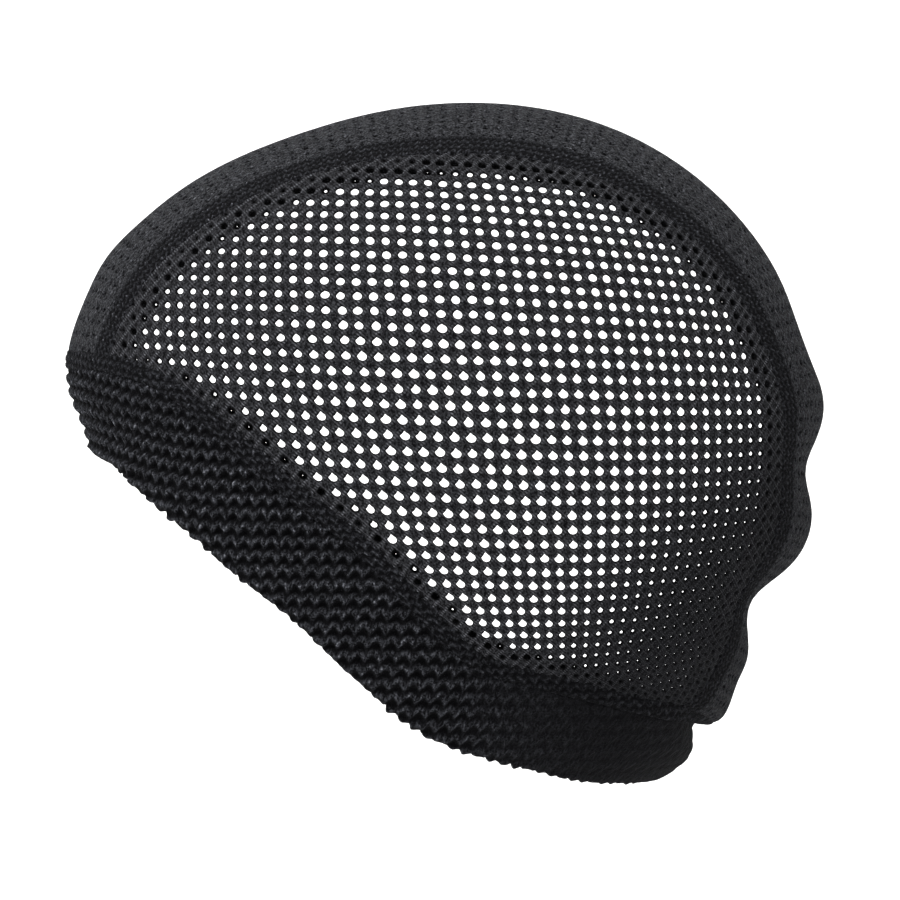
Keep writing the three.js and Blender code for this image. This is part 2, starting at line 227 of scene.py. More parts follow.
@dataclass(frozen=True)
class Dome:
    """The outer face of the worn cloth, from the sizes that the solids have."""

    half_width: float = 0.0770
    front_reach: float = 0.1064
    back_reach: float = 0.0995
    crown_rise: float = 0.0905
    nape_drop: float = 0.1080
    fold_depth: float = 0.0090
    net_wall: float = 0.0012
    side_power: float = 2.1
    across_power: float = 2.4
    slope_step: float = 0.00005
    calm_step: float = 0.0025
    settle_passes: int = 4
    halvings: int = 24
    back_shade: float = 0.55
    shade_ends: tuple[float, float] = (-40, 40)
    folds: tuple[Fold, ...] = FOLDS

    def reach(self, angle: Number, x: Number) -> np.ndarray:
        """Distance from the dome's axis to the cloth.

        Args:
            angle: Angle round the axis in radians, from the back over the crown.
            x: Distance from the centre plane.

        Returns:
            The reach in the plane at x.
        """
        across = np.abs(x) / self.half_width
        cosine = np.cos(angle)
        sine = np.sin(angle)
        along = np.abs(cosine) / np.where(cosine > 0, self.back_reach, self.front_reach)
        upward = np.abs(sine) / np.where(sine > 0, self.crown_rise, self.nape_drop)
        reach = (along**self.side_power + upward**self.side_power) ** (-1 / self.side_power)
        for fold in self.folds:
            away = (np.degrees(angle) - fold.at + 180) % 360 - 180
            strength = np.exp(-((away / fold.spread) ** 2) - 2 * (across / fold.fade) ** 2)
            reach = reach + self.fold_depth * fold.height * strength
        return reach

    @property
    def axis_z(self) -> float:
        """Height of the dome's axis, which runs from side to side."""
        return self.net_wall - float(self.reach(math.pi / 2, 0.0))

    def share(self, x: Number) -> np.ndarray:
        """Share of the full reach that is left at x."""
        across = np.minimum(np.abs(x) / self.half_width, 1)
        return (1 - across**self.across_power) ** (1 / self.across_power)

    def point(self, x: Number, angle: Number) -> np.ndarray:
        """Points of the cloth by their x and their angle in radians."""
        reach = self.reach(angle, x) * self.share(x)
        y = reach * np.cos(angle)
        z = self.axis_z + reach * np.sin(angle)
        return np.stack(np.broadcast_arrays(np.asarray(x, float), y, z), axis=-1)

    def angle(self, points: np.ndarray) -> np.ndarray:
        """Angle of points round the axis, in radians."""
        return np.arctan2(points[..., 2] - self.axis_z, points[..., 1])

    def crown_degrees(self, points: np.ndarray) -> np.ndarray:
        """Angle in degrees, below zero at the lower back and rising over the crown to the front."""
        return crown_range(np.degrees(self.angle(points)))

    def back_light(self, points: np.ndarray) -> np.ndarray:
        """Painted light share of the crown's crests at points, with painted shade towards the lower
        back.
        """
        forward = smooth_step(self.crown_degrees(points), *self.shade_ends)
        return self.back_shade + (1 - self.back_shade) * forward

    def level(self, points: np.ndarray) -> np.ndarray:
        """Zero on the cloth, negative inside the dome."""
        across = np.abs(points[..., 0]) / self.half_width
        away = np.hypot(points[..., 1], points[..., 2] - self.axis_z)
        reach = self.reach(self.angle(points), points[..., 0])
        return (away / reach) ** self.across_power + across**self.across_power - 1

    def gradient(self, points: np.ndarray, step: float) -> np.ndarray:
        """Slope of the level, from differences over a step."""
        slopes = []
        for axis in range(3):
            shift = np.zeros(3)
            shift[axis] = step
            slopes.append((self.level(points + shift) - self.level(points - shift)) / (2 * step))
        return np.stack(slopes, axis=-1)

    def normals(self, points: np.ndarray) -> np.ndarray:
        """Outward directions, calm over the sharp folds."""
        slope = self.gradient(points, self.calm_step)
        return slope / np.linalg.norm(slope, axis=-1, keepdims=True)

    def settle(self, points: np.ndarray) -> np.ndarray:
        """Moves points onto the cloth, square to it."""
        for _ in range(self.settle_passes):
            slope = self.gradient(points, self.slope_step)
            drop = self.level(points) / np.sum(slope * slope, axis=-1)
            points = points - slope * drop[..., None]
        return points

    def over(self, y: np.ndarray, z: np.ndarray) -> np.ndarray:
        """Points of the left side that lie over places of the side view.

        Args:
            y: Distance towards the back.
            z: Height.

        Returns:
            Points of the cloth, with x from 0 to half the width.
        """
        low = np.zeros_like(y)
        high = np.full_like(y, self.half_width)
        for _ in range(self.halvings):
            middle = (low + high) / 2
            outside = self.level(np.stack([middle, y, z], axis=-1)) > 0
            high = np.where(outside, middle, high)
            low = np.where(outside, low, middle)
        return np.stack([(low + high) / 2, y, z], axis=-1)


@dataclass
class HemLoop:
    """The hem's lower edge as a closed loop, with the cloth above it in layers."""

    dome: Dome
    band_width: float = 0.0240
    stitch_width: float = 0.0045
    clearance: float = 0.00035
    columns: int = 1240
    layers: int = 40
    line_samples: int = 4000
    ease_reach: int = 8
    near_reach: float = 0.008
    line: np.ndarray = field(init=False)
    ups: np.ndarray = field(init=False)
    height: np.ndarray = field(init=False)
    points: np.ndarray = field(init=False)
    normals: np.ndarray = field(init=False)
    band: np.ndarray = field(init=False)

    def __post_init__(self) -> None:
        """Walks up the cloth from the edge and keeps each layer."""
        self.line = self._edge()
        degree = np.degrees(self.dome.angle(self.line)) % 360
        self.band = self.band_width * table_value(HEM_STATIONS, "band", degree)
        total = self.band + 2 * self.clearance + self.stitch_width
        layer = self.line
        kept = [layer]
        for _ in range(self.layers):
            step = (total / self.layers)[:, None]
            layer = self.dome.settle(layer + self._up(layer) * step)
            kept.append(layer)
        self.points = np.stack(kept, axis=1)
        self.normals = self.dome.normals(self.points)
        self.height = total
        self.ups = self._up(layer)

    @property
    def net_line(self) -> np.ndarray:
        """The line where the net starts."""
        return self.points[:, -1]

    def _edge(self) -> np.ndarray:
        """The lower edge, evenly spaced, down the left side and back up the right."""
        power = self.dome.across_power
        t = np.linspace(0, 1, self.line_samples)
        eased = t**power / (t**power + (1 - t) ** power)
        degree = HEM_STATIONS[0].at + eased * (HEM_STATIONS[-1].at - HEM_STATIONS[0].at)
        reach = np.minimum(table_value(HEM_STATIONS, "reach", degree), 1)
        x = self.dome.half_width * (1 - reach**power) ** (1 / power)
        x[0] = 0
        x[-1] = 0
        half = self.dome.point(x, np.radians(degree))
        length = running_length(half)
        even = np.linspace(0, length[-1], self.columns // 2 + 1)
        half = np.stack([np.interp(even, length, half[:, axis]) for axis in range(3)], axis=1)
        right = half[1:-1][::-1] * np.array([-1, 1, 1])
        return np.concatenate([half, right])

    def _along(self, line: np.ndarray) -> np.ndarray:
        """Directions along a line of the loop, eased over a few points."""
        return np.roll(line, -self.ease_reach, axis=0) - np.roll(line, self.ease_reach, axis=0)

    def _up(self, line: np.ndarray) -> np.ndarray:
        """Directions along the cloth, square to a line of the loop."""
        up = np.cross(self.dome.normals(line), self._along(line))
        return up / np.linalg.norm(up, axis=1, keepdims=True)

    def at_height(self, height: np.ndarray) -> tuple[np.ndarray, np.ndarray]:
        """Points and normals at heights above the edge.

        Args:
            height: One row of heights along the cloth for each column of the loop.

        Returns:
            The points of the cloth and its normals, each by column and height.
        """
        place = np.clip(height / self.height[:, None], 0, 1) * self.layers
        low = np.minimum(place.astype(int), self.layers - 1)
        share = (place - low)[..., None]
        column = np.arange(len(self.line))[:, None]
        points = self.points[column, low] * (1 - share) + self.points[column, low + 1] * share
        normals = self.normals[column, low] * (1 - share) + self.normals[column, low + 1] * share
        normals /= np.linalg.norm(normals, axis=-1, keepdims=True)
        below = np.minimum(height, 0)[..., None]
        first = self.points[:, 1] - self.points[:, 0]
        first /= np.linalg.norm(first, axis=1, keepdims=True)
        return points + below * first[:, None, :], normals

    def lattice(self, points: np.ndarray) -> tuple[np.ndarray, np.ndarray]:
        """Level distance from the front and height, for a knit whose rows lie nearly level.

        Args:
            points: Points of the cloth by column and height.

        Returns:
            The distance round and the height, in metres.
        """
        level = self.line.copy()
        level[:, 2] = 0
        steps = np.linalg.norm(np.roll(level, -1, axis=0) - level, axis=1)
        round_way = np.concatenate([[0.0], np.cumsum(steps)[:-1]])
        along = self._along(level)
        along /= np.linalg.norm(along, axis=1, keepdims=True)
        shift = np.sum((points - self.line[:, None, :]) * along[:, None, :], axis=-1)
        way = round_way[:, None] + shift
        half = round_way[self.columns // 2]
        return half - np.abs(half - way), points[..., 2]

    def above(self, points: np.ndarray) -> np.ndarray:
        """Signed distance of points above the net line, along the cloth."""
        tree = KDTree(len(self.net_line))
        for index, place in enumerate(self.net_line):
            tree.insert(place, index)
        tree.balance()
        nearest = np.array([tree.find(place)[1] for place in points])
        offset = points - self.net_line[nearest]
        away = np.linalg.norm(offset, axis=1)
        near = np.sum(offset * self.ups[nearest], axis=1)
        half = self.net_line[: self.columns // 2 + 1]
        front_to_back = half[np.argsort(half[:, 1])]
        level = np.interp(points[:, 1], front_to_back[:, 1], front_to_back[:, 2])
        return np.where(away < self.near_reach, near, np.sign(points[:, 2] - level) * away)


@dataclass
class CrownLine:
    """The lengthwise edge between the crown strip and the seams."""

    dome: Dome
    half_width: float = 0.0430

    def edge(self, degree: Number) -> np.ndarray:
        """Half the strip's width at angles in degrees."""
        return self.half_width * table_value(CROWN_STATIONS, "width", degree)

    def ends(self, hem: HemLoop, past: float) -> tuple[float, float]:
        """Where a lengthwise line meets the net line.

        Args:
            hem: The loop whose net line ends the crown.
            past: Distance of the line past the strip's edge.

        Returns:
            The angles in degrees at the front and at the lower back.
        """
        half = hem.net_line[: hem.columns // 2 + 1]
        degree = self.dome.crown_degrees(half)
        aside = half[:, 0] - (self.edge(degree) + past)
        crossing = np.flatnonzero((aside[:-1] <= 0) != (aside[1:] <= 0))
        front = crossing[0]
        back = crossing[-1] + 1
        return float(degree[front]), float(degree[back])


@dataclass
class SheetMesh:
    """Collects a closed sheet of cloth and makes it an object."""

    name: str
    vertices: np.ndarray
    faces: np.ndarray
    uvs: np.ndarray
    crest: np.ndarray

    def mirrored(self, name: str) -> "SheetMesh":
        """The same sheet on the other side of the centre plane."""
        turned = self.vertices * np.array([-1, 1, 1])
        return SheetMesh(name, turned, self.faces[:, ::-1], self.uvs, self.crest)

    def build(self) -> bpy.types.Object:
        """Makes the mesh object, with its faces smooth and its UV map filled."""
        mesh = bpy.data.meshes.new(self.name)
        corners = self.faces.reshape(-1)
        mesh.vertices.add(len(self.vertices))
        mesh.vertices.foreach_set("co", self.vertices.reshape(-1).astype(np.float32))
        mesh.loops.add(len(corners))
        mesh.loops.foreach_set("vertex_index", corners.astype(np.int32))
        mesh.polygons.add(len(self.faces))
        size = self.faces.shape[1]
        mesh.polygons.foreach_set("loop_start", np.arange(len(self.faces), dtype=np.int32) * size)
        mesh.update(calc_edges=True)
        layer = mesh.uv_layers.new(name="UVMap")
        layer.data.foreach_set("uv", self.uvs[corners].reshape(-1).astype(np.float32))
        # The painted light share, which the yarn materials read.
        crest = mesh.attributes.new(PAINTED_LIGHT, "FLOAT", "POINT")
        crest.data.foreach_set("value", np.clip(self.crest, 0, 1).astype(np.float32))
        mesh.shade_smooth()
        mesh.validate()
        piece = bpy.data.objects.new(self.name, mesh)
        bpy.context.scene.collection.objects.link(piece)
        return piece


@dataclass(frozen=True)
class Knit:
    """Relief of a closed knit and its painted light share: level rows of arched loops, with a pit
    below each arch.
    """

    pitch_along: float
    pitch_up: float
    loop_height: float
    pit_depth: float
    lean: float = 0.0
    dip: float = 0.0
    dip_span: float = 0.100
    arch: float = 0.20
    jitter: float = 0.07
    pit_wide: float = 0.32
    pit_tall: float = 0.27
    pit_scatter: float = 0.3
    ply_relief: float = 0.45
    base_crest: float = 0.20
    bar_crest: float = 0.56
    ply_crest: float = 0.34
    ply_low: float = 0.3
    pit_crest: float = 0.8

    def places(self, along: np.ndarray, up: np.ndarray) -> tuple[np.ndarray, np.ndarray]:
        """Numbers of the loops, from distances in metres."""
        share = np.clip(along / self.dip_span, 0, 1)
        sunk = self.dip * (share - np.sin(2 * math.pi * share) / (2 * math.pi))
        risen = (up + sunk) / self.pitch_up
        return along / self.pitch_along + self.lean * risen, risen

    def relief(self, along: np.ndarray, up: np.ndarray) -> tuple[np.ndarray, np.ndarray]:
        """Shape of the loops.

        Args:
            along: Numbers of the loops along the rows.
            up: Numbers of the rows.

        Returns:
            The height over the cloth, and a painted light share from 0 to 1, lit on the bars and
            plies and painted shade in the pits.
        """
        row = np.round(up)
        column = np.round(along)
        aside = along - column + self.jitter * scatter(column, row, Draw.LOOP_ASIDE)
        above = up - row + self.jitter * scatter(column, row, Draw.LOOP_ABOVE)
        deep = 1 + self.pit_scatter * scatter(column, row, Draw.PIT_DEPTH)
        pit = np.exp(-((aside / self.pit_wide) ** 2) - (above / self.pit_tall) ** 2)
        warped = up - self.arch * np.cos(2 * math.pi * along)
        bar = 0.5 - 0.5 * np.cos(2 * math.pi * warped)
        ply = np.cos(2 * math.pi * (2 * np.abs(aside) + above))
        height = self.loop_height * bar * (1 + self.ply_relief * ply)
        ply_share = self.ply_low + (1 - self.ply_low) * bar
        # Painted light: bars and plies are painted paler, and the pits painted darker as shade.
        crest = self.base_crest + self.bar_crest * bar + self.ply_crest * ply * ply_share
        return height - self.pit_depth * deep * pit, np.clip(crest - self.pit_crest * pit, 0, 1)


@dataclass
class NetPanel:
    """A panel of open knit: a lattice of cells with a hole in each.

    The plane of the lattice has u along its columns and v up its rows, in metres along the
    cloth, so that u, v and the outward direction are right-handed.
    """

    name: str
    dome: Dome
    hem: HemLoop
    crown: CrownLine
    pitch_u: float
    pitch_v: float
    hole: float = 0.260
    size_scatter: float = 0.06
    place_scatter: float = 0.03
    hole_wide: float = 1.08
    hole_tall: float = 0.93
    rim_crest: float = 0.12
    ring_points: int = 16
    margin: float = 0.0012
    kept_past: float = 0.45
    pulled_within: float = 1.2
    pull_passes: int = 4
    closed_room: float = 0.12
    open_room: float = 0.62
    least_hole: float = 0.03
    ring_share: float = 0.40
    rim_depth: float = 0.42
    ring_proud: float = 0.62
    ring_crest: float = 0.86
    inside_crest: float = 0.5
    proud: float = 0.00022
    yarn_wall: float = 0.0008
    wobble: float = 0.035
    tip_side: float = 128.0
    tip_sharpness: float = 1.3
    tip_least: float = 0.06
    tip_swell: float = 0.12
    tip_at: float = 93.0
    tip_spread: float = 0.35
    tip_height: float = 0.26
    oval: float = 0.09
    oval_scatter: float = 0.05
    oval_turn: float = 0.8
    turn_scatter: float = 0.9
    oval_lost: float = 0.6
    border_crest: tuple[float, float] = (0.60, 0.35)
    border_proud: tuple[float, float] = (0.55, 0.90)
    inside_share: float = 0.92
    slope_step: float = 0.0003
    least_slope: float = 0.05

    def lay(self, u: np.ndarray, v: np.ndarray) -> np.ndarray:
        """Points of the cloth for places of the lattice's plane."""
        raise NotImplementedError

    def outlines(self, u: np.ndarray, v: np.ndarray) -> list[np.ndarray]:
        """For each outline, a number that is positive inside and falls across it."""
        raise NotImplementedError

    def cells(self) -> tuple[np.ndarray, np.ndarray]:
        """Columns and rows of all cells that may lie in the panel."""
        raise NotImplementedError

    def hole_share(self, column: np.ndarray, row: np.ndarray) -> np.ndarray:
        """How far open the holes are, from 0 to 1."""
        return np.ones(len(column))

    def peak(self, row: np.ndarray) -> np.ndarray:
        """How far the holes are drawn out to a tip at the top."""
        return np.zeros(len(row))

    def light(self, points: np.ndarray) -> np.ndarray:
        """Painted light on the yarn's crests at points, up to 1; lower values paint shade."""
        return np.ones(len(points))

    def slopes(self, u: np.ndarray, v: np.ndarray) -> list[tuple[np.ndarray, ...]]:
        """Each outline's number, its two slopes and the size of its slope."""
        here = self.outlines(u, v)
        right = self.outlines(u + self.slope_step, v)
        above = self.outlines(u, v + self.slope_step)
        found = []
        for value, beside, higher in zip(here, right, above):
            slope_u = (beside - value) / self.slope_step
            slope_v = (higher - value) / self.slope_step
            size = np.maximum(np.hypot(slope_u, slope_v), self.least_slope)
            found.append((value, slope_u, slope_v, size))
        return found

    def room(self, u: np.ndarray, v: np.ndarray) -> np.ndarray:
        """Distance inside the nearest outline, along the cloth."""
        return np.minimum.reduce([value / size for value, _, _, size in self.slopes(u, v)])

    def pull_inside(self, u: np.ndarray, v: np.ndarray) -> tuple[np.ndarray, np.ndarray]:
        """Moves places that lie past the margin back onto it."""
        for _ in range(self.pull_passes):
            for value, slope_u, slope_v, size in self.slopes(u, v):
                short = np.maximum(-self.margin - value / size, 0)
                short = np.minimum(short, 0.5 * self.pitch_u)
                u = u + short * slope_u / size
                v = v + short * slope_v / size
        return u, v

    def sheet(self) -> SheetMesh:
        """Builds the whole panel.

        Returns:
            The panel as one closed sheet with a hole in each cell.
        """
        column, row = self.cells()
        room = self.room(column * self.pitch_u, row * self.pitch_v)
        keep = room > -self.margin - self.kept_past * self.pitch_u
        column, row, room = column[keep], row[keep], room[keep]
        near = room < self.pulled_within * self.pitch_u
        count = len(column)
        square = self._square()
        rim_x, rim_y = self._rims(column, row, room, np.arctan2(square[:, 1], square[:, 0]))

        half_steps = self.ring_points // 2
        lattice_x = np.round((column[:, None] + square[:, 0]) * half_steps).astype(int)
        lattice_y = np.round((row[:, None] + square[:, 1]) * half_steps).astype(int)
        edge_x, edge_y = self._edge_wobble(lattice_x / half_steps, lattice_y / half_steps)
        local_x = edge_x - column[:, None]
        local_y = edge_y - row[:, None]

        keys = lattice_x.astype(np.int64) * 100000 + lattice_y
        unique, first, inverse = np.unique(keys, return_index=True, return_inverse=True)
        inverse = inverse.reshape(keys.shape)
        border_x = edge_x.reshape(-1)[first]
        border_y = edge_y.reshape(-1)[first]
        mid_side = 1 - 2 * np.minimum(
            np.abs(fraction(border_x) - 0.5), np.abs(fraction(border_y) - 0.5)
        )

        shares = (0.0, self.ring_share)
        lifts = (-self.rim_depth * self.yarn_wall, self.ring_proud * self.proud)
        ring_x = [column[:, None] + rim_x * (1 - part) + local_x * part for part in shares]
        ring_y = [row[:, None] + rim_y * (1 - part) + local_y * part for part in shares]

        all_u = np.concatenate([border_x] + [ring.reshape(-1) for ring in ring_x])
        all_v = np.concatenate([border_y] + [ring.reshape(-1) for ring in ring_y])
        cell_near = np.repeat(near, self.ring_points)
        border_near = np.zeros(len(unique), bool)
        border_near[inverse[near].reshape(-1)] = True
        pulled = np.concatenate([border_near, cell_near, cell_near])
        u = all_u * self.pitch_u
        v = all_v * self.pitch_v
        u[pulled], v[pulled] = self.pull_inside(u[pulled], v[pulled])
        base = self.lay(u, v)
        normal = self.dome.normals(base)

        border = len(unique)
        ring = count * self.ring_points
        wall = self.yarn_wall
        crest = self.proud * (self.border_proud[0] + self.border_proud[1] * mid_side)
        front = [base[:border] + normal[:border] * crest[:, None]]
        for index, lift in enumerate(lifts):
            part = slice(border + index * ring, border + (index + 1) * ring)
            front.append(base[part] + normal[part] * lift)
        back_border = base[:border] - normal[:border] * wall
        back_part = slice(border + ring, border + 2 * ring)
        back_ring = base[back_part] - normal[back_part] * (self.inside_share * wall)
        vertices = np.concatenate(front + [back_border, back_ring])
        uvs = np.stack([all_u, all_v], axis=1) + 0.5
        uvs = np.concatenate([uvs, uvs[:border], uvs[back_part]])
        # Painted light share: each ring and the cell borders get their own share, so the yarn's
        # crests are painted lit and, on the side nets, the hole rims painted dark as shade; all is
        # scaled by the panel's painted light, and the inner face gets an even middle share.
        shades = [self.border_crest[0] + self.border_crest[1] * mid_side]
        shades += [np.full(ring, shade) for shade in (self.rim_crest, self.ring_crest)]
        outside = np.concatenate(shades) * self.light(base)
        crest = np.concatenate([outside, np.full(border + ring, self.inside_crest)])

        loops = np.arange(ring).reshape(count, self.ring_points)
        rim_loop = border + loops
        outer_loop = rim_loop + ring
        back_edge = border + 2 * ring + inverse
        back_loop = border + 2 * ring + border + loops
        faces = [
            band_faces(rim_loop, outer_loop),
            band_faces(outer_loop, inverse),
            band_faces(back_loop, rim_loop),
            band_faces(back_edge, back_loop),
            self._edge_faces(column, row, inverse, back_edge),
        ]
        log.info("%s: %d cells", self.name, count)
        return SheetMesh(self.name, vertices, np.concatenate(faces), uvs, crest)

    def _rims(
        self, column: np.ndarray, row: np.ndarray, room: np.ndarray, turn: np.ndarray
    ) -> tuple[np.ndarray, np.ndarray]:
        """Outlines of the holes about the middles of their cells, in cells.

        Args:
            column: The cells' columns.
            row: The cells' rows.
            room: The cells' distances inside the nearest outline.
            turn: The directions of the outline's points, in radians.

        Returns:
            The distances along the rows and up the columns, by cell and direction.
        """
        near_edge = smooth_step(room / self.pitch_u, self.closed_room, self.open_room)
        size = self.hole * (1 + self.size_scatter * scatter(column, row, Draw.HOLE_SIZE))
        size = np.maximum(size * (self.hole_share(column, row) * near_edge), self.least_hole)
        rim = size[:, None] * self._hole_outline(turn, self.peak(row), column, row)
        aside = self.place_scatter * scatter(column, row, Draw.HOLE_ASIDE)
        above = self.place_scatter * scatter(column, row, Draw.HOLE_ABOVE)
        rim_x = rim * np.cos(turn) * self.hole_wide + aside[:, None]
        rim_y = rim * np.sin(turn) * self.hole_tall + above[:, None]
        return rim_x, rim_y

    def _square(self) -> np.ndarray:
        """Points round one cell's square, against the clock from its lower left corner."""
        sides = self.ring_points // 4
        corners = np.array([[-0.5, -0.5], [0.5, -0.5], [0.5, 0.5], [-0.5, 0.5]])
        points = []
        for index in range(4):
            start = corners[index]
            end = corners[(index + 1) % 4]
            points.extend(start + (end - start) * step / sides for step in range(sides))
        return np.array(points)

    def _hole_outline(
        self, turn: np.ndarray, peak: np.ndarray, column: np.ndarray, row: np.ndarray
    ) -> np.ndarray:
        """Radius of each hole by direction, as a share of its size."""
        turn = turn[None, :]
        peak = peak[:, None]
        sharp = (0.5 + 0.5 * np.cos(turn - math.radians(self.tip_side))) ** self.tip_sharpness
        power = 2 - peak * (self.tip_least + (1 - self.tip_least) * sharp)
        outline = (np.abs(np.cos(turn)) ** power + np.abs(np.sin(turn)) ** power) ** (-1 / power)
        outline = outline * (1 + self.tip_swell * peak)
        away = (turn - math.radians(self.tip_at) + math.pi) % (2 * math.pi) - math.pi
        tip = np.exp(-((away / self.tip_spread) ** 2))
        outline = outline * (1 + self.tip_height * peak * tip)
        lean = self.oval_scatter * scatter(column, row, Draw.HOLE_LEAN)[:, None]
        lean = lean - self.oval * (1 - self.oval_lost * peak)
        turned = self.turn_scatter * scatter(column, row, Draw.HOLE_PHASE)[:, None]
        return outline * (1 + lean * np.cos(2 * turn + self.oval_turn + turned))

    def _edge_wobble(self, x: np.ndarray, y: np.ndarray) -> tuple[np.ndarray, np.ndarray]:
        """Shifts places on the cell borders a little, the same for both cells."""
        aside = self.wobble * scatter(x, y, Draw.BORDER_X)
        above = self.wobble * scatter(x, y, Draw.BORDER_Y)
        return x + aside, y + above

    def _edge_faces(
        self, column: np.ndarray, row: np.ndarray, front: np.ndarray, back: np.ndarray
    ) -> np.ndarray:
        """Faces that close the wall where a cell has no neighbour."""
        sides = self.ring_points // 4
        present = set(zip(column.tolist(), row.tolist()))
        steps = ((0, -1), (1, 0), (0, 1), (-1, 0))
        faces = []
        for cell, place in enumerate(zip(column.tolist(), row.tolist())):
            for side, (step_x, step_y) in enumerate(steps):
                if (place[0] + step_x, place[1] + step_y) in present:
                    continue
                for part in range(sides):
                    index = side * sides + part
                    after = (index + 1) % self.ring_points
                    corners_front = (front[cell, after], front[cell, index])
                    faces.append((*corners_front, back[cell, index], back[cell, after]))
        return np.array(faces, int).reshape(-1, 4)


def fraction(value: np.ndarray) -> np.ndarray:
    """Fraction of a number above the whole number below it."""
    return value - np.floor(value)


def band_faces(inner: np.ndarray, outer: np.ndarray) -> np.ndarray:
    """Quads between two rings of each cell, facing outwards where the rings widen."""
    next_inner = np.roll(inner, -1, axis=1)
    next_outer = np.roll(outer, -1, axis=1)
    return np.stack([inner, outer, next_outer, next_inner], axis=-1).reshape(-1, 4)


@dataclass
class SideNet(NetPanel):
    """The side panel, whose columns hang down the side and whose rows run back."""

    centre_y: float = -0.0042
    centre_up: float = 0.0087
    back_curve: float = 0.1070
    front_curve: float = 0.1049
    upper_curve: float = 0.0835
    lower_curve: float = 0.0884
    column_pinch: float = 38.0
    column_taper: float = 0.82
    row_pinch: float = 10.4
    even_below: float = 0.070
    lean: float = 0.118
    lean_curve: float = 0.53
    row_drop: float = 0.037
    row_curl: float = 0.22
    seam_width: float = 0.0070
    bend_span: float = 0.01
    curve_limit: float = 1.5
    first_cell: tuple[int, int] = (-27, -33)
    past_cell: tuple[int, int] = (31, 27)
    least_peak: float = 0.25
    slack_y: float = 0.0389
    slack_z: float = 0.0209
    slack_slope: float = 0.9
    side_y: float = 0.010
    turned_span: tuple[float, float] = (0.030, 0.080)
    turned_loss: float = 0.24
    closing_span: tuple[float, float] = (0.004, 0.064)
    closing_loss: float = 0.96
    slack_shade_span: tuple[float, float] = (0.004, 0.050)
    slack_shade_loss: float = 0.58
    widening: float = 0.0
    widening_z: float = 0.0

    def lay(self, u: np.ndarray, v: np.ndarray) -> np.ndarray:
        """Points of the cloth for places of the lattice's plane."""
        y, z = self.side_view(u, v)
        return self.dome.over(y, z)

    def widened(self, y: np.ndarray, z: np.ndarray) -> tuple[np.ndarray, np.ndarray]:
        """Side view of a net that is pulled wider towards the middle of its side.

        Args:
            y: Distance towards the back before it is pulled.
            z: Height before it is pulled.

        Returns:
            The distance towards the back and the height after it is pulled.
        """
        level = self.widening_z
        near = self.dome.over(y, z)[..., 0]
        wide_y, wide_z = y, z
        for _ in range(4):
            far = self.dome.over(wide_y, wide_z)[..., 0]
            growth = (1 + self.widening * far) / (1 - self.widening * near)
            wide_y = y * growth
            wide_z = level + (z - level) * growth
        return wide_y, wide_z

    def side_view(self, u: np.ndarray, v: np.ndarray) -> tuple[np.ndarray, np.ndarray]:
        """Places on the side view, as the net curves round the dome and is drawn askew.

        Args:
            u: Distance along the cloth towards the back.
            v: Distance up the cloth.

        Returns:
            The distance towards the back and the height.
        """
        curve_u = np.where(u > 0, self.back_curve, self.front_curve)
        curve_v = np.where(v > 0, self.upper_curve, self.lower_curve)
        limit = self.curve_limit
        across = curve_u * np.sin(np.clip(u / curve_u, -limit, limit))
        upward = curve_v * np.sin(np.clip(v / curve_v, -limit, limit))
        past = np.minimum(v + self.even_below, 0)
        bend = self.bend_span * np.tanh(past / self.bend_span)
        low = np.maximum(v, -self.even_below) + bend
        y = across * (1 - self.column_pinch * low * low + self.column_taper * low)
        y = y - self.lean * v + self.lean_curve * v * v
        z = upward * (1 - self.row_pinch * u * u) - self.row_drop * u + self.row_curl * u * u
        y = y + self.centre_y
        z = z + self.centre_up + self.dome.axis_z
        return self.widened(y, z) if self.widening else (y, z)

    def outlines(self, u: np.ndarray, v: np.ndarray) -> list[np.ndarray]:
        """For each outline, a number that is positive inside and falls across it."""
        y, z = self.side_view(u, v)
        up = z - self.dome.axis_z
        angle = np.arctan2(up, y)
        edge = self.crown.edge(crown_range(np.degrees(angle)))
        edge = edge + 2 * self.hem.clearance + self.seam_width
        seam = self.dome.reach(angle, edge) * self.dome.share(edge) - np.hypot(y, up)
        return [seam, self.hem.above(self.dome.over(y, z))]

    def cells(self) -> tuple[np.ndarray, np.ndarray]:
        """Columns and rows of all cells that may lie in the panel."""
        columns, rows = (np.arange(*ends) for ends in zip(self.first_cell, self.past_cell))
        column, row = np.meshgrid(columns, rows)
        column = column.reshape(-1).astype(float)
        row = row.reshape(-1).astype(float)
        u = column * self.pitch_u
        v = row * self.pitch_v
        facing = (np.abs(u) < 1.45 * self.front_curve) & (np.abs(v) < 1.5 * self.lower_curve)
        return column[facing], row[facing]

    def peak(self, row: np.ndarray) -> np.ndarray:
        """The holes have a tip from the middle of the panel downwards."""
        return self.least_peak + (1 - self.least_peak) * smooth_step(-row, -9, 0)

    def slack(self, y: np.ndarray, z: np.ndarray) -> np.ndarray:
        """Distance of places of the side view into the slack cloth, low at the back."""
        up = z - self.dome.axis_z + self.slack_z
        return (y - self.slack_y) - self.slack_slope * up

    def hole_share(self, column: np.ndarray, row: np.ndarray) -> np.ndarray:
        """The holes narrow where the side turns away, and close where the cloth is slack."""
        y, z = self.side_view(column * self.pitch_u, row * self.pitch_v)
        turned = self.turned_loss * smooth_step(np.abs(y - self.side_y), *self.turned_span)
        closed = self.closing_loss * smooth_step(self.slack(y, z), *self.closing_span)
        return (1 - turned) * (1 - closed)

    def light(self, points: np.ndarray) -> np.ndarray:
        """Painted shade: the slack cloth at the lower back is painted darker."""
        slack = self.slack(points[:, 1], points[:, 2])
        return 1 - self.slack_shade_loss * smooth_step(slack, *self.slack_shade_span)


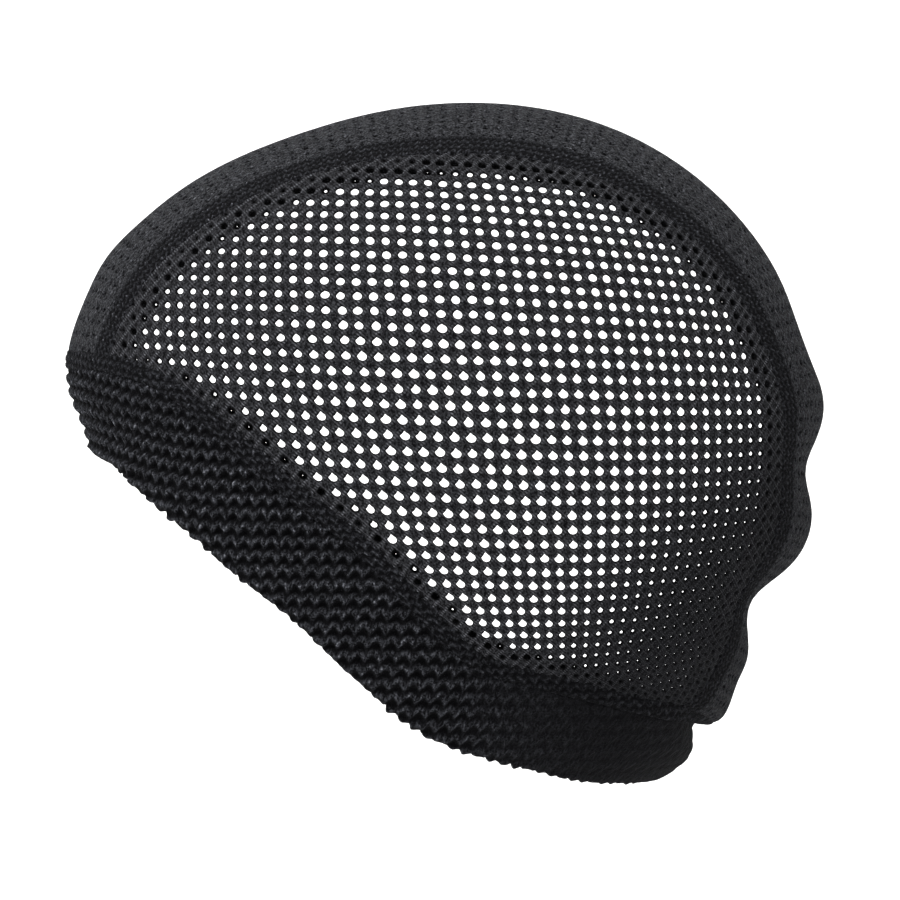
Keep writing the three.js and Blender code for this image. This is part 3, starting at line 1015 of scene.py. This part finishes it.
@dataclass
class CrownStrip(NetPanel):
    """The middle panel, whose rows run across the dome and whose columns run over the crown."""

    past_ends: float = 1.5
    line_samples: int = 3000
    across_samples: int = 400
    across_share: float = 0.75

    def __post_init__(self) -> None:
        """Measures the middle line and one section across it."""
        middle = self.hem.net_line[[0, self.hem.columns // 2]]
        front, back = self.dome.crown_degrees(middle)
        ends = (front + self.past_ends, back - self.past_ends)
        self.degrees = np.linspace(*ends, self.line_samples)
        self.lengths = running_length(self.dome.point(0.0, np.radians(self.degrees)))
        reach = self.across_share * self.dome.half_width
        self.aside = np.linspace(0, reach, self.across_samples)
        section = self.dome.point(self.aside, math.pi / 2)
        self.arcs = running_length(section)

    def lay(self, u: np.ndarray, v: np.ndarray) -> np.ndarray:
        """Points of the cloth for places of the lattice's plane."""
        x, degree = self._place(u, v)
        return self.dome.point(x, np.radians(degree))

    def _place(self, u: np.ndarray, v: np.ndarray) -> tuple[np.ndarray, np.ndarray]:
        """Distance from the centre plane and angle in degrees."""
        x = np.sign(u) * np.interp(np.abs(u), self.arcs, self.aside)
        return x, np.interp(v, self.lengths, self.degrees)

    def outlines(self, u: np.ndarray, v: np.ndarray) -> list[np.ndarray]:
        """For each outline, a number that is positive inside and falls across it."""
        x, degree = self._place(u, v)
        beside = self.crown.edge(degree) - np.abs(x)
        return [beside, self.hem.above(self.lay(u, v))]

    def hole_share(self, column: np.ndarray, row: np.ndarray) -> np.ndarray:
        """The holes close towards the lower back, where the cloth is slack."""
        degree = np.interp(row * self.pitch_v, self.lengths, self.degrees)
        return 0.35 + 0.65 * smooth_step(degree, -25, 30)

    def light(self, points: np.ndarray) -> np.ndarray:
        """Painted shade: the lower back is painted darker."""
        return self.dome.back_light(points)

    def cells(self) -> tuple[np.ndarray, np.ndarray]:
        """Columns and rows of all cells that may lie in the panel."""
        across = math.ceil(self.arcs[-1] / self.pitch_u)
        along = math.ceil(self.lengths[-1] / self.pitch_v)
        column, row = np.meshgrid(np.arange(-across, across + 1), np.arange(0, along + 1))
        return column.reshape(-1).astype(float), row.reshape(-1).astype(float)


@dataclass
class Ribbon:
    """A dense band of cloth: one closed section, repeated along its length."""

    name: str
    dome: Dome

    def rings(self) -> tuple[np.ndarray, np.ndarray, np.ndarray, bool]:
        """The sections' points, UVs and crests, and whether the ribbon is a loop."""
        raise NotImplementedError

    def sheet(self) -> SheetMesh:
        """Builds the ribbon.

        Returns:
            The ribbon as one closed sheet.
        """
        points, uvs, crest, loops = self.rings()
        count, size = points.shape[:2]
        index = np.arange(count * size).reshape(count, size)
        after = np.roll(index, -1, axis=0)
        if not loops:
            index, after = index[:-1], after[:-1]
        beside = np.roll(index, -1, axis=1)
        opposite = np.roll(after, -1, axis=1)
        faces = np.stack([index, after, opposite, beside], axis=-1).reshape(-1, 4)
        vertices = points.reshape(-1, 3)
        flat_uvs = uvs.reshape(-1, 2)
        if not loops:
            faces = np.concatenate([faces, self._cap(0, size, True)])
            faces = np.concatenate([faces, self._cap((count - 1) * size, size, False)])
        if signed_volume(vertices, faces) < 0:
            faces = faces[:, ::-1]
        log.info("%s: %d faces", self.name, len(faces))
        return SheetMesh(self.name, vertices, faces, flat_uvs, crest.reshape(-1))

    def _cap(self, start: int, size: int, flip: bool) -> np.ndarray:
        """Quads that close an open end, between the two faces of the cloth."""
        faces = []
        for low in range(size // 2 - 1):
            high = size - 1 - low
            quad = (start + low, start + low + 1, start + high - 1, start + high)
            faces.append(quad[::-1] if flip else quad)
        return np.array(faces, int)


def arched_section(
    arch: np.ndarray, inner_rows: int, wall: float, proud: float
) -> tuple[np.ndarray, np.ndarray, np.ndarray]:
    """Section of a ribbon whose outer face is arched and whose inner face is flat.

    Args:
        arch: Height of the outer face's rows, as shares of the full arch.
        inner_rows: Rows of the inner face, with its two edges.
        wall: Thickness of the cloth.
        proud: How far the arch stands over the cloth.

    Returns:
        The rows' share of the way across, their height, and their share of the relief.
    """
    outer = np.linspace(0, 1, len(arch))
    inner = np.linspace(1, 0, inner_rows)[1:-1]
    rise = 0.5 * wall + proud
    depth = np.concatenate([rise * arch - 0.5 * wall, 0 * inner - wall])
    return np.concatenate([outer, inner]), depth, np.concatenate([arch, 0 * inner])


def signed_volume(vertices: np.ndarray, faces: np.ndarray) -> float:
    """Volume inside a closed mesh of quads, negative if its faces point inwards."""
    a, b, c, d = (vertices[faces[:, corner]] for corner in range(4))
    first = np.sum(a * np.cross(b, c), axis=1)
    second = np.sum(a * np.cross(c, d), axis=1)
    return float(np.sum(first + second)) / 6


@dataclass
class HemBand(Ribbon):
    """The net doubled over into a wide band, with level rows of chunky loops."""

    hem: HemLoop = None
    wall: float = 0.0026
    knit: Knit = Knit(0.00375, 0.00372, 0.00050, 0.0011, lean=-0.15, dip=0.010)
    nub: float = 0.0005
    under: float = 0.0008
    outer_rows: int = 60
    inner_rows: int = 5
    edge_rows: int = 3
    drop: float = 0.0017
    side_drop: float = 0.0024
    side_y: float = -0.0880
    side_span: float = 0.011
    nub_ends: tuple[float, float] = (-0.002, 0.001)
    nub_size: float = 0.8
    edge_relief: float = 0.8
    calm_ends: tuple[float, float] = (-0.012, 0.030)
    calm_loss: float = 0.72
    dim_ends: tuple[float, float] = (-0.020, 0.045)
    dim_loss: float = 0.84
    mid_crest: float = 0.45
    contrast: float = 1.25

    def rings(self) -> tuple[np.ndarray, np.ndarray, np.ndarray, bool]:
        """The sections' points, UVs and crests, and that the ribbon is a loop."""
        radius = self.wall / 2
        outer = np.linspace(0, 1, self.outer_rows)
        inner = np.linspace(1, 0, self.inner_rows)
        turn = np.radians(np.linspace(-90, 90, self.edge_rows + 2)[1:-1])
        share = np.concatenate([outer, np.ones(self.edge_rows), inner, np.zeros(self.edge_rows)])
        past = radius * np.concatenate([0 * outer, np.cos(turn), 0 * inner, -np.cos(turn)])
        depth = radius * np.concatenate(
            [0 * outer, -np.sin(turn) - 1, 0 * inner - 2, np.sin(turn) - 1]
        )
        fading = np.linspace(self.edge_relief, 0, self.edge_rows)
        face = np.concatenate([0 * outer + 1, fading, 0 * inner, fading[::-1]])
        beside = np.exp(-(((self.hem.line[:, 1] - self.side_y) / self.side_span) ** 2))
        start = radius - self.drop - self.side_drop * beside
        span = self.hem.band + self.under - radius - start
        height = start[:, None] + share[None, :] * span[:, None] + past[None, :]
        points, _ = self.hem.at_height(height)
        along, up = self.knit.places(*self.hem.lattice(points))
        low_edge = smooth_step(-height, *self.nub_ends)
        size = self.nub_size + scatter(np.round(along), 0 * along, Draw.NUB)
        nubs = np.cos(2 * math.pi * along) * size
        points, normals = self.hem.at_height(height - self.nub * low_edge * nubs)
        relief, crest = self.knit.relief(along, up)
        # Towards the back the relief is flattened and the painted light on the loops loses its
        # contrast; dim paints the band darker there, as shade.
        calm = 1 - self.calm_loss * smooth_step(points[..., 1], *self.calm_ends)
        dim = 1 - self.dim_loss * smooth_step(points[..., 1], *self.dim_ends)
        crest = (self.mid_crest + self.contrast * (crest - self.mid_crest) * calm) * dim
        lift = depth[None, :] + relief * calm * face[None, :]
        return points + normals * lift[..., None], np.stack([along, up], axis=-1), crest, True


@dataclass
class HemStitching(Ribbon):
    """The narrow sewn ridge that closes the band against the net."""

    hem: HemLoop = None
    wall: float = 0.0022
    proud: float = 0.00055
    knit: Knit = Knit(0.0025, 0.0022, 0.00028, 0.00035, lean=0.3, dip=0.010, arch=0.28)
    outer_rows: int = 14
    inner_rows: int = 5
    dim_ends: tuple[float, float] = (-0.020, 0.035)
    dim_loss: float = 0.5
    side_shade: float = 0.4

    def rings(self) -> tuple[np.ndarray, np.ndarray, np.ndarray, bool]:
        """The sections' points, UVs and crests, and that the ribbon is a loop."""
        aside = np.abs(2 * np.linspace(0, 1, self.outer_rows) - 1)
        arch = np.sqrt(np.maximum(1 - aside**4, 0))
        share, depth, face = arched_section(arch, self.inner_rows, self.wall, self.proud)
        low = self.hem.band - self.hem.clearance
        span = self.hem.height - low + self.hem.clearance
        points, normals = self.hem.at_height(low[:, None] + share[None, :] * span[:, None])
        along, up = self.knit.places(*self.hem.lattice(points))
        relief, crest = self.knit.relief(along, up)
        # Painted shade: darker towards the back, and on the ridge's flanks and inner face.
        crest = crest * (1 - self.dim_loss * smooth_step(points[..., 1], *self.dim_ends))
        crest = crest * (self.side_shade + (1 - self.side_shade) * face)
        lift = depth + relief * face
        uvs = np.stack([along, up], axis=-1)
        return points + normals * lift[..., None], uvs, crest, True


@dataclass
class CrownSeam(Ribbon):
    """The dense sewn strip between the crown strip and a side net."""

    hem: HemLoop = None
    crown: CrownLine = None
    width: float = 0.0070
    wall: float = 0.0020
    proud: float = 0.0004
    knit: Knit = Knit(0.0020, 0.0018, 0.00018, 0.00022, lean=0.3, arch=0.25)
    stations: int = 760
    outer_rows: int = 17
    inner_rows: int = 5
    past_ends: float = 0.9
    round_share: float = 0.16
    line_samples: int = 4000

    def rings(self) -> tuple[np.ndarray, np.ndarray, np.ndarray, bool]:
        """The sections' points, UVs and crests, and that the ribbon is open."""
        aside = np.abs(2 * np.linspace(0, 1, self.outer_rows) - 1)
        edge = np.clip(1 - aside, 0, self.round_share) / self.round_share
        arch = np.sqrt(1 - (1 - edge) ** 2)
        share, depth, face = arched_section(arch, self.inner_rows, self.wall, self.proud)
        dense = np.linspace(*self._ends(self.width / 2), self.line_samples)
        line = self._line(dense, np.full_like(dense, self.width / 2))
        length = running_length(line)
        even = np.linspace(0, length[-1], self.stations)
        place = np.interp(even, length, np.linspace(0, 1, len(dense)))
        degree = np.empty((self.stations, len(share)))
        for index, part in enumerate(share):
            front, back = self._ends(part * self.width)
            degree[:, index] = front + (back - front) * place
        beside = np.broadcast_to(share * self.width, degree.shape)
        points = self._line(degree, beside)
        normals = self.dome.normals(points)
        along, up = self.knit.places(even[:, None] + 0 * beside, beside)
        relief, crest = self.knit.relief(along, up)
        lift = depth + relief * face
        uvs = np.stack([along, up], axis=-1)
        # Painted shade towards the lower back.
        crest = crest * self.dome.back_light(points)
        return points + normals * lift[..., None], uvs, crest, False

    def _ends(self, beside: float) -> tuple[float, float]:
        """Angles of a lengthwise line's ends, a little under the hem's ridge."""
        front, back = self.crown.ends(self.hem, beside)
        return front + self.past_ends, back - self.past_ends

    def _line(self, degree: np.ndarray, beside: np.ndarray) -> np.ndarray:
        """Points by their angle and their distance past the crown strip's edge."""
        x = self.crown.edge(degree) + self.hem.clearance + beside
        return self.dome.point(x, np.radians(degree))


class Value:
    """A number in a material. Arithmetic on it adds Math nodes."""

    def __init__(self, bench: "NodeBench", socket: Any) -> None:
        """Keeps the socket that the number comes from."""
        self.bench = bench
        self.socket = socket

    def _math(self, operation: str, *values: Any) -> "Value":
        """Adds a Math node on some values."""
        sockets = {index: getattr(value, "socket", value) for index, value in enumerate(values)}
        node = self.bench.node("ShaderNodeMath", {"operation": operation}, sockets)
        return Value(self.bench, node.outputs[0])

    def __add__(self, other: Any) -> "Value":
        """Sum."""
        return self._math("ADD", self, other)

    __radd__ = __add__

    def __sub__(self, other: Any) -> "Value":
        """Difference."""
        return self._math("SUBTRACT", self, other)

    def __rsub__(self, other: Any) -> "Value":
        """Difference from another value."""
        return self._math("SUBTRACT", other, self)

    def __mul__(self, other: Any) -> "Value":
        """Product."""
        return self._math("MULTIPLY", self, other)

    __rmul__ = __mul__

    def __truediv__(self, other: Any) -> "Value":
        """Quotient."""
        return self._math("DIVIDE", self, other)

    def sine(self) -> "Value":
        """Sine of an angle in radians."""
        return self._math("SINE", self)

    def root(self) -> "Value":
        """Square root."""
        return self._math("SQRT", self)

    def turn_from(self, other: "Value") -> "Value":
        """Angle in radians whose sine is this and whose cosine is another, to a scale."""
        return self._math("ARCTAN2", self, other)

    def fraction(self) -> "Value":
        """Part above the whole number below."""
        return self._math("FRACT", self)

    def absolute(self) -> "Value":
        """Size without its sign."""
        return self._math("ABSOLUTE", self)

    def maximum(self, other: Any) -> "Value":
        """Larger of two values."""
        return self._math("MAXIMUM", self, other)

    def ramp(self, low: float, high: float) -> "Value":
        """Rises smoothly from 0 at low to 1 at high, also where low is the higher."""
        node = self.bench.node(
            "ShaderNodeMapRange",
            {"interpolation_type": "SMOOTHSTEP"},
            {"Value": self.socket, "From Min": low, "From Max": high, "To Min": 0.0, "To Max": 1.0},
        )
        return Value(self.bench, node.outputs["Result"])


class NodeBench:
    """Adds nodes to one material."""

    def __init__(self, name: str) -> None:
        """Starts an empty material with a principled shader."""
        self.material = bpy.data.materials.new(name)
        self.material.use_nodes = True
        self.tree = self.material.node_tree
        self.tree.nodes.clear()
        self.shader = self.node("ShaderNodeBsdfPrincipled", {}, {})
        output = self.node("ShaderNodeOutputMaterial", {}, {})
        self.tree.links.new(self.shader.outputs[0], output.inputs["Surface"])

    def node(self, kind: str, settings: dict[str, Any], sockets: dict[Any, Any]) -> bpy.types.Node:
        """Adds a node.

        Args:
            kind: The node's type.
            settings: Its properties, set first.
            sockets: Values or links of its inputs, by name or number.

        Returns:
            The new node.
        """
        node = self.tree.nodes.new(kind)
        for key, value in settings.items():
            setattr(node, key, value)
        for key, value in sockets.items():
            value = getattr(value, "socket", value)
            if isinstance(value, bpy.types.NodeSocket):
                self.tree.links.new(value, node.inputs[key])
            else:
                node.inputs[key].default_value = value
        return node

    def uv(self, scale_u: float = 1.0, scale_v: float = 1.0, turn: float = 0.0) -> Any:
        """The piece's own UV map, turned and scaled, as a vector."""
        place = self.node("ShaderNodeUVMap", {"uv_map": "UVMap"}, {})
        mapping = self.node(
            "ShaderNodeMapping",
            {},
            {
                "Vector": place.outputs[0],
                "Rotation": (0.0, 0.0, math.radians(turn)),
                "Scale": (scale_u, scale_v, 1.0),
            },
        )
        return mapping.outputs[0]

    def object_place(self, scale: float) -> Any:
        """Object coordinates, scaled, as a vector."""
        place = self.node("ShaderNodeTexCoord", {}, {})
        mapping = self.node(
            "ShaderNodeMapping",
            {},
            {"Vector": place.outputs["Object"], "Scale": (scale, scale, scale)},
        )
        return mapping.outputs[0]

    def attribute(self, name: str) -> Value:
        """A number that the mesh keeps at its points."""
        node = self.node("ShaderNodeAttribute", {"attribute_name": name}, {})
        return Value(self, node.outputs["Fac"])

    def parts(self, vector: Any) -> tuple[Value, Value]:
        """First two parts of a vector."""
        node = self.node("ShaderNodeSeparateXYZ", {}, {0: vector})
        return Value(self, node.outputs[0]), Value(self, node.outputs[1])

    def noise(self, vector: Any, scale: float, detail: float = 2.0, rough: float = 0.55) -> Value:
        """Soft noise, about 0.5 on average."""
        node = self.node(
            "ShaderNodeTexNoise",
            {},
            {"Vector": vector, "Scale": scale, "Detail": detail, "Roughness": rough},
        )
        return Value(self, node.outputs[0])

    def colour_mix(self, share: Value, low: Any, high: Any) -> Any:
        """Mixes two colours, or the links of two colours."""
        node = self.node("ShaderNodeMix", {"data_type": "RGBA"}, {0: share.socket})
        for index, colour in ((6, low), (7, high)):
            if isinstance(colour, bpy.types.NodeSocket):
                self.tree.links.new(colour, node.inputs[index])
            else:
                node.inputs[index].default_value = (*colour, 1.0)
        return node.outputs[2]

    def bump(self, height: Value, distance: float, strength: float = 1.0) -> Any:
        """Normal of a bumpy surface whose height is in shares of a distance."""
        node = self.node(
            "ShaderNodeBump",
            {},
            {"Height": height.socket, "Distance": distance, "Strength": strength},
        )
        return node.outputs[0]


@dataclass(frozen=True)
class Gather:
    """Small pleats that fan out from a point of the side view, in metres and radians."""

    y: float
    z: float
    pleats: float = 44.0
    wander: float = 1.6
    wander_scale: float = 90.0
    near: tuple[float, float] = (0.004, 0.010)
    far: tuple[float, float] = (0.036, 0.016)
    first: tuple[float, float] = (0.30, 0.65)
    last: tuple[float, float] = (2.4, 1.9)

    def height(self, bench: NodeBench) -> Value:
        """Height of the pleats, from 0 to 1."""
        place = bench.node("ShaderNodeTexCoord", {}, {}).outputs["Object"]
        parts = bench.node("ShaderNodeSeparateXYZ", {}, {0: place})
        y = Value(bench, parts.outputs[1]) - self.y
        z = Value(bench, parts.outputs[2]) - self.z
        away = (y * y + z * z).root()
        turn = z.turn_from(y * -1.0)
        wander = bench.noise(place, self.wander_scale, 1.0, 0.5) * self.wander
        window = away.ramp(*self.near) * away.ramp(*self.far)
        window = window * turn.ramp(*self.first) * turn.ramp(*self.last)
        return (turn * self.pleats + wander).sine().maximum(0.0) * window


@dataclass(frozen=True)
class Strands:
    """Yarns that cross between the holes of a net, both ways, in cells of its lattice."""

    weight: float
    wander: float = 0.24
    wander_scale: float = 1.9
    rising: tuple[float, float] = (0.22, 0.05)
    falling: tuple[float, float] = (0.17, 0.04)
    falling_share: float = 0.6
    twists: float = 21.0
    twist: float = 0.45

    def height(self, bench: NodeBench) -> Value:
        """Height of the yarns, up to their weight."""
        u, v = bench.parts(bench.uv())
        wander = bench.noise(bench.uv(), self.wander_scale, 2.0, 0.6) * self.wander
        wander = wander - self.wander / 2
        rising = ((u - v + wander).fraction() - 0.5).absolute().ramp(*self.rising)
        falling = ((u + v - wander).fraction() - 0.5).absolute().ramp(*self.falling)
        twist = ((u + v) * self.twists).sine() * self.twist + (1 - self.twist)
        return (rising * twist).maximum(falling * twist * self.falling_share) * self.weight


@dataclass(frozen=True)
class KnitFinish:
    """A matte black yarn, with painted shade between its plies and painted light on their crests.
    """

    name: str
    dark: tuple[float, float, float] = (0.0016, 0.0016, 0.0022)
    lit: tuple[float, float, float] = (0.075, 0.078, 0.090)
    fleck: tuple[float, float, float] = (0.30, 0.31, 0.35)
    roughness: tuple[float, float] = (0.72, 0.95)
    ply_length: float = 2.6
    ply_turn: float = 45.0
    ply_scale: float = 6.0
    fuzz: float = 1700.0
    bump_height: float = 0.00045
    stroke_share: float = 0.50
    speck_share: float = 0.42
    ply_weight: float = 1.0
    strands: Optional[Strands] = None
    gather: Optional[Gather] = None
    stroke_ramp: tuple[float, float] = (0.47, 0.66)
    counter_ramp: tuple[float, float] = (0.52, 0.70)
    counter_share: float = 0.8
    speck_ramp: tuple[float, float] = (0.42, 0.62)
    glint_ramp: tuple[float, float] = (0.45, 1.0)
    glint_share: float = 0.55
    specular: float = 0.11

    def build(self) -> bpy.types.Material:
        """Makes the material.

        Returns:
            The finished material.
        """
        bench = NodeBench(self.name)
        # The mesh's painted light share.
        crest = bench.attribute(PAINTED_LIGHT)
        along = self.ply_scale / self.ply_length
        ply = bench.noise(bench.uv(self.ply_scale, along, self.ply_turn), 1.0, 2.0, 0.5)
        counter = bench.noise(bench.uv(self.ply_scale, along, -self.ply_turn), 1.0, 2.0, 0.5)
        fuzz = bench.noise(bench.object_place(1.0), self.fuzz, 2.0, 0.55)
        counter_strokes = counter.ramp(*self.counter_ramp) * self.counter_share
        strokes = ply.ramp(*self.stroke_ramp).maximum(counter_strokes) * self.ply_weight
        specks = fuzz.ramp(*self.speck_ramp)
        height = strokes * 0.6 + specks * 0.5
        if self.strands:
            lines = self.strands.height(bench)
            height = height + lines
            # The strands' ridges are painted lighter, as lit yarn.
            strokes = strokes.maximum(lines)
        if self.gather:
            pleats = self.gather.height(bench)
            height = height + pleats * 0.9
            # The pleats' crests are painted lighter, as lit cloth.
            strokes = strokes.maximum(pleats * 0.3)
        # Painted light: where the painted light share, plies, specks, strands and pleats are high,
        # the yarn is mixed towards the lit colour; elsewhere it keeps the dark colour as painted
        # shade.
        share = crest * (strokes * self.stroke_share + specks * self.speck_share)
        # Painted highlight: glints on lit plies and specks take the pale highlight colour.
        glint = (crest * strokes * specks).ramp(*self.glint_ramp) * self.glint_share
        colour = bench.colour_mix(share, self.dark, self.lit)
        colour = bench.colour_mix(glint, colour, self.fleck)
        rough = share * (self.roughness[0] - self.roughness[1]) + self.roughness[1]
        bench.tree.links.new(colour, bench.shader.inputs["Base Color"])
        bench.tree.links.new(rough.socket, bench.shader.inputs["Roughness"])
        bench.tree.links.new(bench.bump(height, self.bump_height), bench.shader.inputs["Normal"])
        bench.shader.inputs["Specular IOR Level"].default_value = self.specular
        return bench.material


@dataclass(frozen=True)
class PlainFinish:
    """An even pale surface of the studio."""

    name: str
    colour: tuple[float, float, float]
    roughness: float

    def build(self) -> bpy.types.Material:
        """Makes the material."""
        bench = NodeBench(self.name)
        bench.shader.inputs["Base Color"].default_value = (*self.colour, 1.0)
        bench.shader.inputs["Roughness"].default_value = self.roughness
        return bench.material


@dataclass
class WigCap:
    """The whole cap: its pieces, their finishes and what each stands for."""

    dome: Dome = field(default_factory=Dome)
    net_finish: KnitFinish = KnitFinish(
        "net_yarn",
        lit=(0.140, 0.143, 0.158),
        stroke_share=0.66,
        speck_share=0.18,
        ply_weight=0.22,
        strands=Strands(1.0),
        gather=Gather(y=0.0646, z=-0.1645),
    )
    strip_finish: KnitFinish = KnitFinish(
        "strip_yarn",
        lit=(0.110, 0.113, 0.126),
        speck_share=0.36,
        ply_weight=0.8,
        strands=Strands(0.45),
    )
    seam_finish: KnitFinish = KnitFinish(
        "seam_yarn", ply_scale=2.4, ply_length=2.0, ply_turn=35.0
    )
    hem_finish: KnitFinish = KnitFinish(
        "hem_yarn", lit=(0.100, 0.104, 0.120), ply_scale=4.5, ply_length=2.5
    )

    def __post_init__(self) -> None:
        """Works out the lines that the pieces share."""
        self.hem = HemLoop(self.dome)
        self.crown = CrownLine(self.dome)

    def build(self) -> None:
        """Builds and dresses every piece."""
        net = self.net_finish.build()
        open_strip = self.strip_finish.build()
        seam = self.seam_finish.build()
        hem = self.hem_finish.build()

        for half, widening in ((Side.LEFT, 0.0), (Side.RIGHT, 1 / CAMERA_AWAY)):
            node = f"side_net_{half.name.lower()}"
            sheet = SideNet(
                f"{node}_knit",
                self.dome,
                self.hem,
                self.crown,
                pitch_u=0.00435,
                pitch_v=0.00410,
                widening=widening,
                widening_z=CAMERA_Z,
            ).sheet()
            if half is Side.RIGHT:
                sheet = sheet.mirrored(sheet.name)
            self._place(sheet, net, Slot.NET, node, (0.125, 0.165), 0.0165)

        strip = CrownStrip(
            "crown_strip_knit",
            self.dome,
            self.hem,
            self.crown,
            pitch_u=0.0040,
            pitch_v=0.0040,
            hole=0.088,
            size_scatter=0.5,
            place_scatter=0.10,
            wobble=0.09,
            rim_crest=0.95,
            yarn_wall=0.0012,
            ring_points=12,
        ).sheet()
        self._place(strip, open_strip, Slot.NET, "crown_strip", (0.080, 0.350), 0.026)

        strip_seam = CrownSeam(
            "crown_seam_left_knit", self.dome, hem=self.hem, crown=self.crown
        ).sheet()
        for half, sheet in (
            (Side.LEFT, strip_seam),
            (Side.RIGHT, strip_seam.mirrored("crown_seam_right_knit")),
        ):
            node = f"crown_seam_{half.name.lower()}"
            self._place(sheet, seam, Slot.SEAM, node, (0.010, 0.330), None)

        band = HemBand("hem_band_knit", self.dome, hem=self.hem).sheet()
        self._place(band, hem, Slot.HEM, "hem_band", (0.025, 0.480), None)
        ridge = HemStitching("hem_stitching_knit", self.dome, hem=self.hem).sheet()
        self._place(ridge, seam, Slot.SEAM, "hem_stitching", (0.010, 0.440), None)

    def _place(
        self,
        sheet: SheetMesh,
        material: bpy.types.Material,
        slot: Slot,
        node: str,
        flat: tuple[float, float],
        area: Optional[float],
    ) -> None:
        """Makes one piece, gives it its finish and hides the solid that it stands for.

        Args:
            sheet: The piece's mesh.
            material: Its finish.
            slot: Not used.
            node: The solid that it stands for.
            flat: Not used.
            area: Not used.
        """
        piece = sheet.build()
        piece.data.materials.append(material)
        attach(piece, "root")
        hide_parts(node)
        log.info("%s: %d faces", piece.name, len(piece.data.polygons))


@dataclass(frozen=True)
class Lamp:
    """A square soft light that looks at a target."""

    name: str
    place: tuple[float, float, float]
    size: float
    power: float
    target: tuple[float, float, float] = (0.0, 0.0, -0.09)

    def build(self) -> None:
        """Adds the light to the scene."""
        data = bpy.data.lights.new(self.name, "AREA")
        data.shape = "SQUARE"
        data.size = self.size
        data.energy = self.power
        lamp = bpy.data.objects.new(self.name, data)
        lamp.location = self.place
        aim = Vector(self.target) - Vector(self.place)
        lamp.rotation_euler = aim.to_track_quat("-Z", "Y").to_euler()
        bpy.context.scene.collection.objects.link(lamp)


@dataclass
class Studio:
    """Pale floor, soft lights and the camera at the cap's left side."""

    floor_z: float = -0.30
    floor_size: float = 9.0
    wall_x: float = -3.2
    wall_height: float = 4.0
    bend: float = 0.9
    bend_steps: int = 16
    touch: float = 0.001
    air: float = 0.55
    lens: float = 325.6
    paper: PlainFinish = PlainFinish("paper", (0.86, 0.86, 0.86), 0.9)
    lamps: tuple[Lamp, ...] = (
        Lamp("key", (1.1, -1.3, 1.3), 0.8, 34.0),
        Lamp("fill", (1.6, 1.3, -0.05), 1.0, 9.0),
        Lamp("top", (-0.2, 0.1, 1.9), 1.0, 16.0),
        Lamp("backdrop", (-1.6, 0.0, 1.6), 2.2, 60.0, (-3.2, 0.0, 0.2)),
    )

    def build(self) -> None:
        """Builds the floor, the lights and the camera."""
        bpy.context.scene.view_settings.view_transform = "Standard"
        self._floor()
        for lamp in self.lamps:
            lamp.build()
        self._world()
        self._camera()

    def _floor(self) -> None:
        """A sheet of paper that turns up behind the cap in a round bend."""
        bpy.ops.object.select_all(action="DESELECT")
        bpy.ops.mesh.primitive_plane_add(size=self.floor_size, location=(0, 0, self.floor_z))
        floor = bpy.context.object
        floor.name = "studio_floor"
        bpy.ops.object.transform_apply(location=True, rotation=True, scale=True)
        for vertex in floor.data.vertices:
            if vertex.co.x < 0:
                vertex.co.x = self.wall_x
        bpy.ops.object.mode_set(mode="EDIT")
        bpy.ops.mesh.select_mode(type="EDGE")
        bpy.ops.mesh.select_all(action="DESELECT")
        bpy.ops.object.mode_set(mode="OBJECT")
        for edge in floor.data.edges:
            ends = [floor.data.vertices[index].co.x for index in edge.vertices]
            edge.select = max(ends) < self.wall_x + self.touch
        bpy.ops.object.mode_set(mode="EDIT")
        bpy.ops.mesh.extrude_edges_move(
            TRANSFORM_OT_translate={"value": (0, 0, self.wall_height)}
        )
        bpy.ops.object.mode_set(mode="OBJECT")
        for edge in floor.data.edges:
            ends = [floor.data.vertices[index].co for index in edge.vertices]
            on_floor = max(end.z for end in ends) < self.floor_z + self.touch
            edge.select = on_floor and max(end.x for end in ends) < self.wall_x + self.touch
        bpy.ops.object.mode_set(mode="EDIT")
        bpy.ops.mesh.bevel(offset=self.bend, segments=self.bend_steps, affect="EDGES")
        bpy.ops.object.mode_set(mode="OBJECT")
        for polygon in floor.data.polygons:
            polygon.use_smooth = True
        floor.data.materials.append(self.paper.build())

    def _world(self) -> None:
        """Even pale light from all round."""
        world = bpy.data.worlds.new("studio_air")
        world.use_nodes = True
        background = world.node_tree.nodes["Background"]
        background.inputs["Color"].default_value = (1.0, 1.0, 1.0, 1.0)
        background.inputs["Strength"].default_value = self.air
        bpy.context.scene.world = world

    def _camera(self) -> None:
        """A long lens level with the middle of the cap, square to its side."""
        data = bpy.data.cameras.new("camera")
        data.lens = self.lens
        camera = bpy.data.objects.new("camera", data)
        camera.location = (CAMERA_AWAY, 0.0, CAMERA_Z)
        camera.rotation_euler = (math.pi / 2, 0.0, math.pi / 2)
        bpy.context.scene.collection.objects.link(camera)
        bpy.context.scene.camera = camera


def corners(box: Sequence[Any]) -> list[list[float]]:
    """A box as plain lists of numbers."""
    return [[float(value) for value in corner] for corner in box]


def main() -> None:
    """Builds the cap and its studio."""
    logging.basicConfig(level=logging.INFO, format="%(name)s: %(message)s")
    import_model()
    WigCap().build()
    Studio().build()


if __name__ == "__main__":
    main()
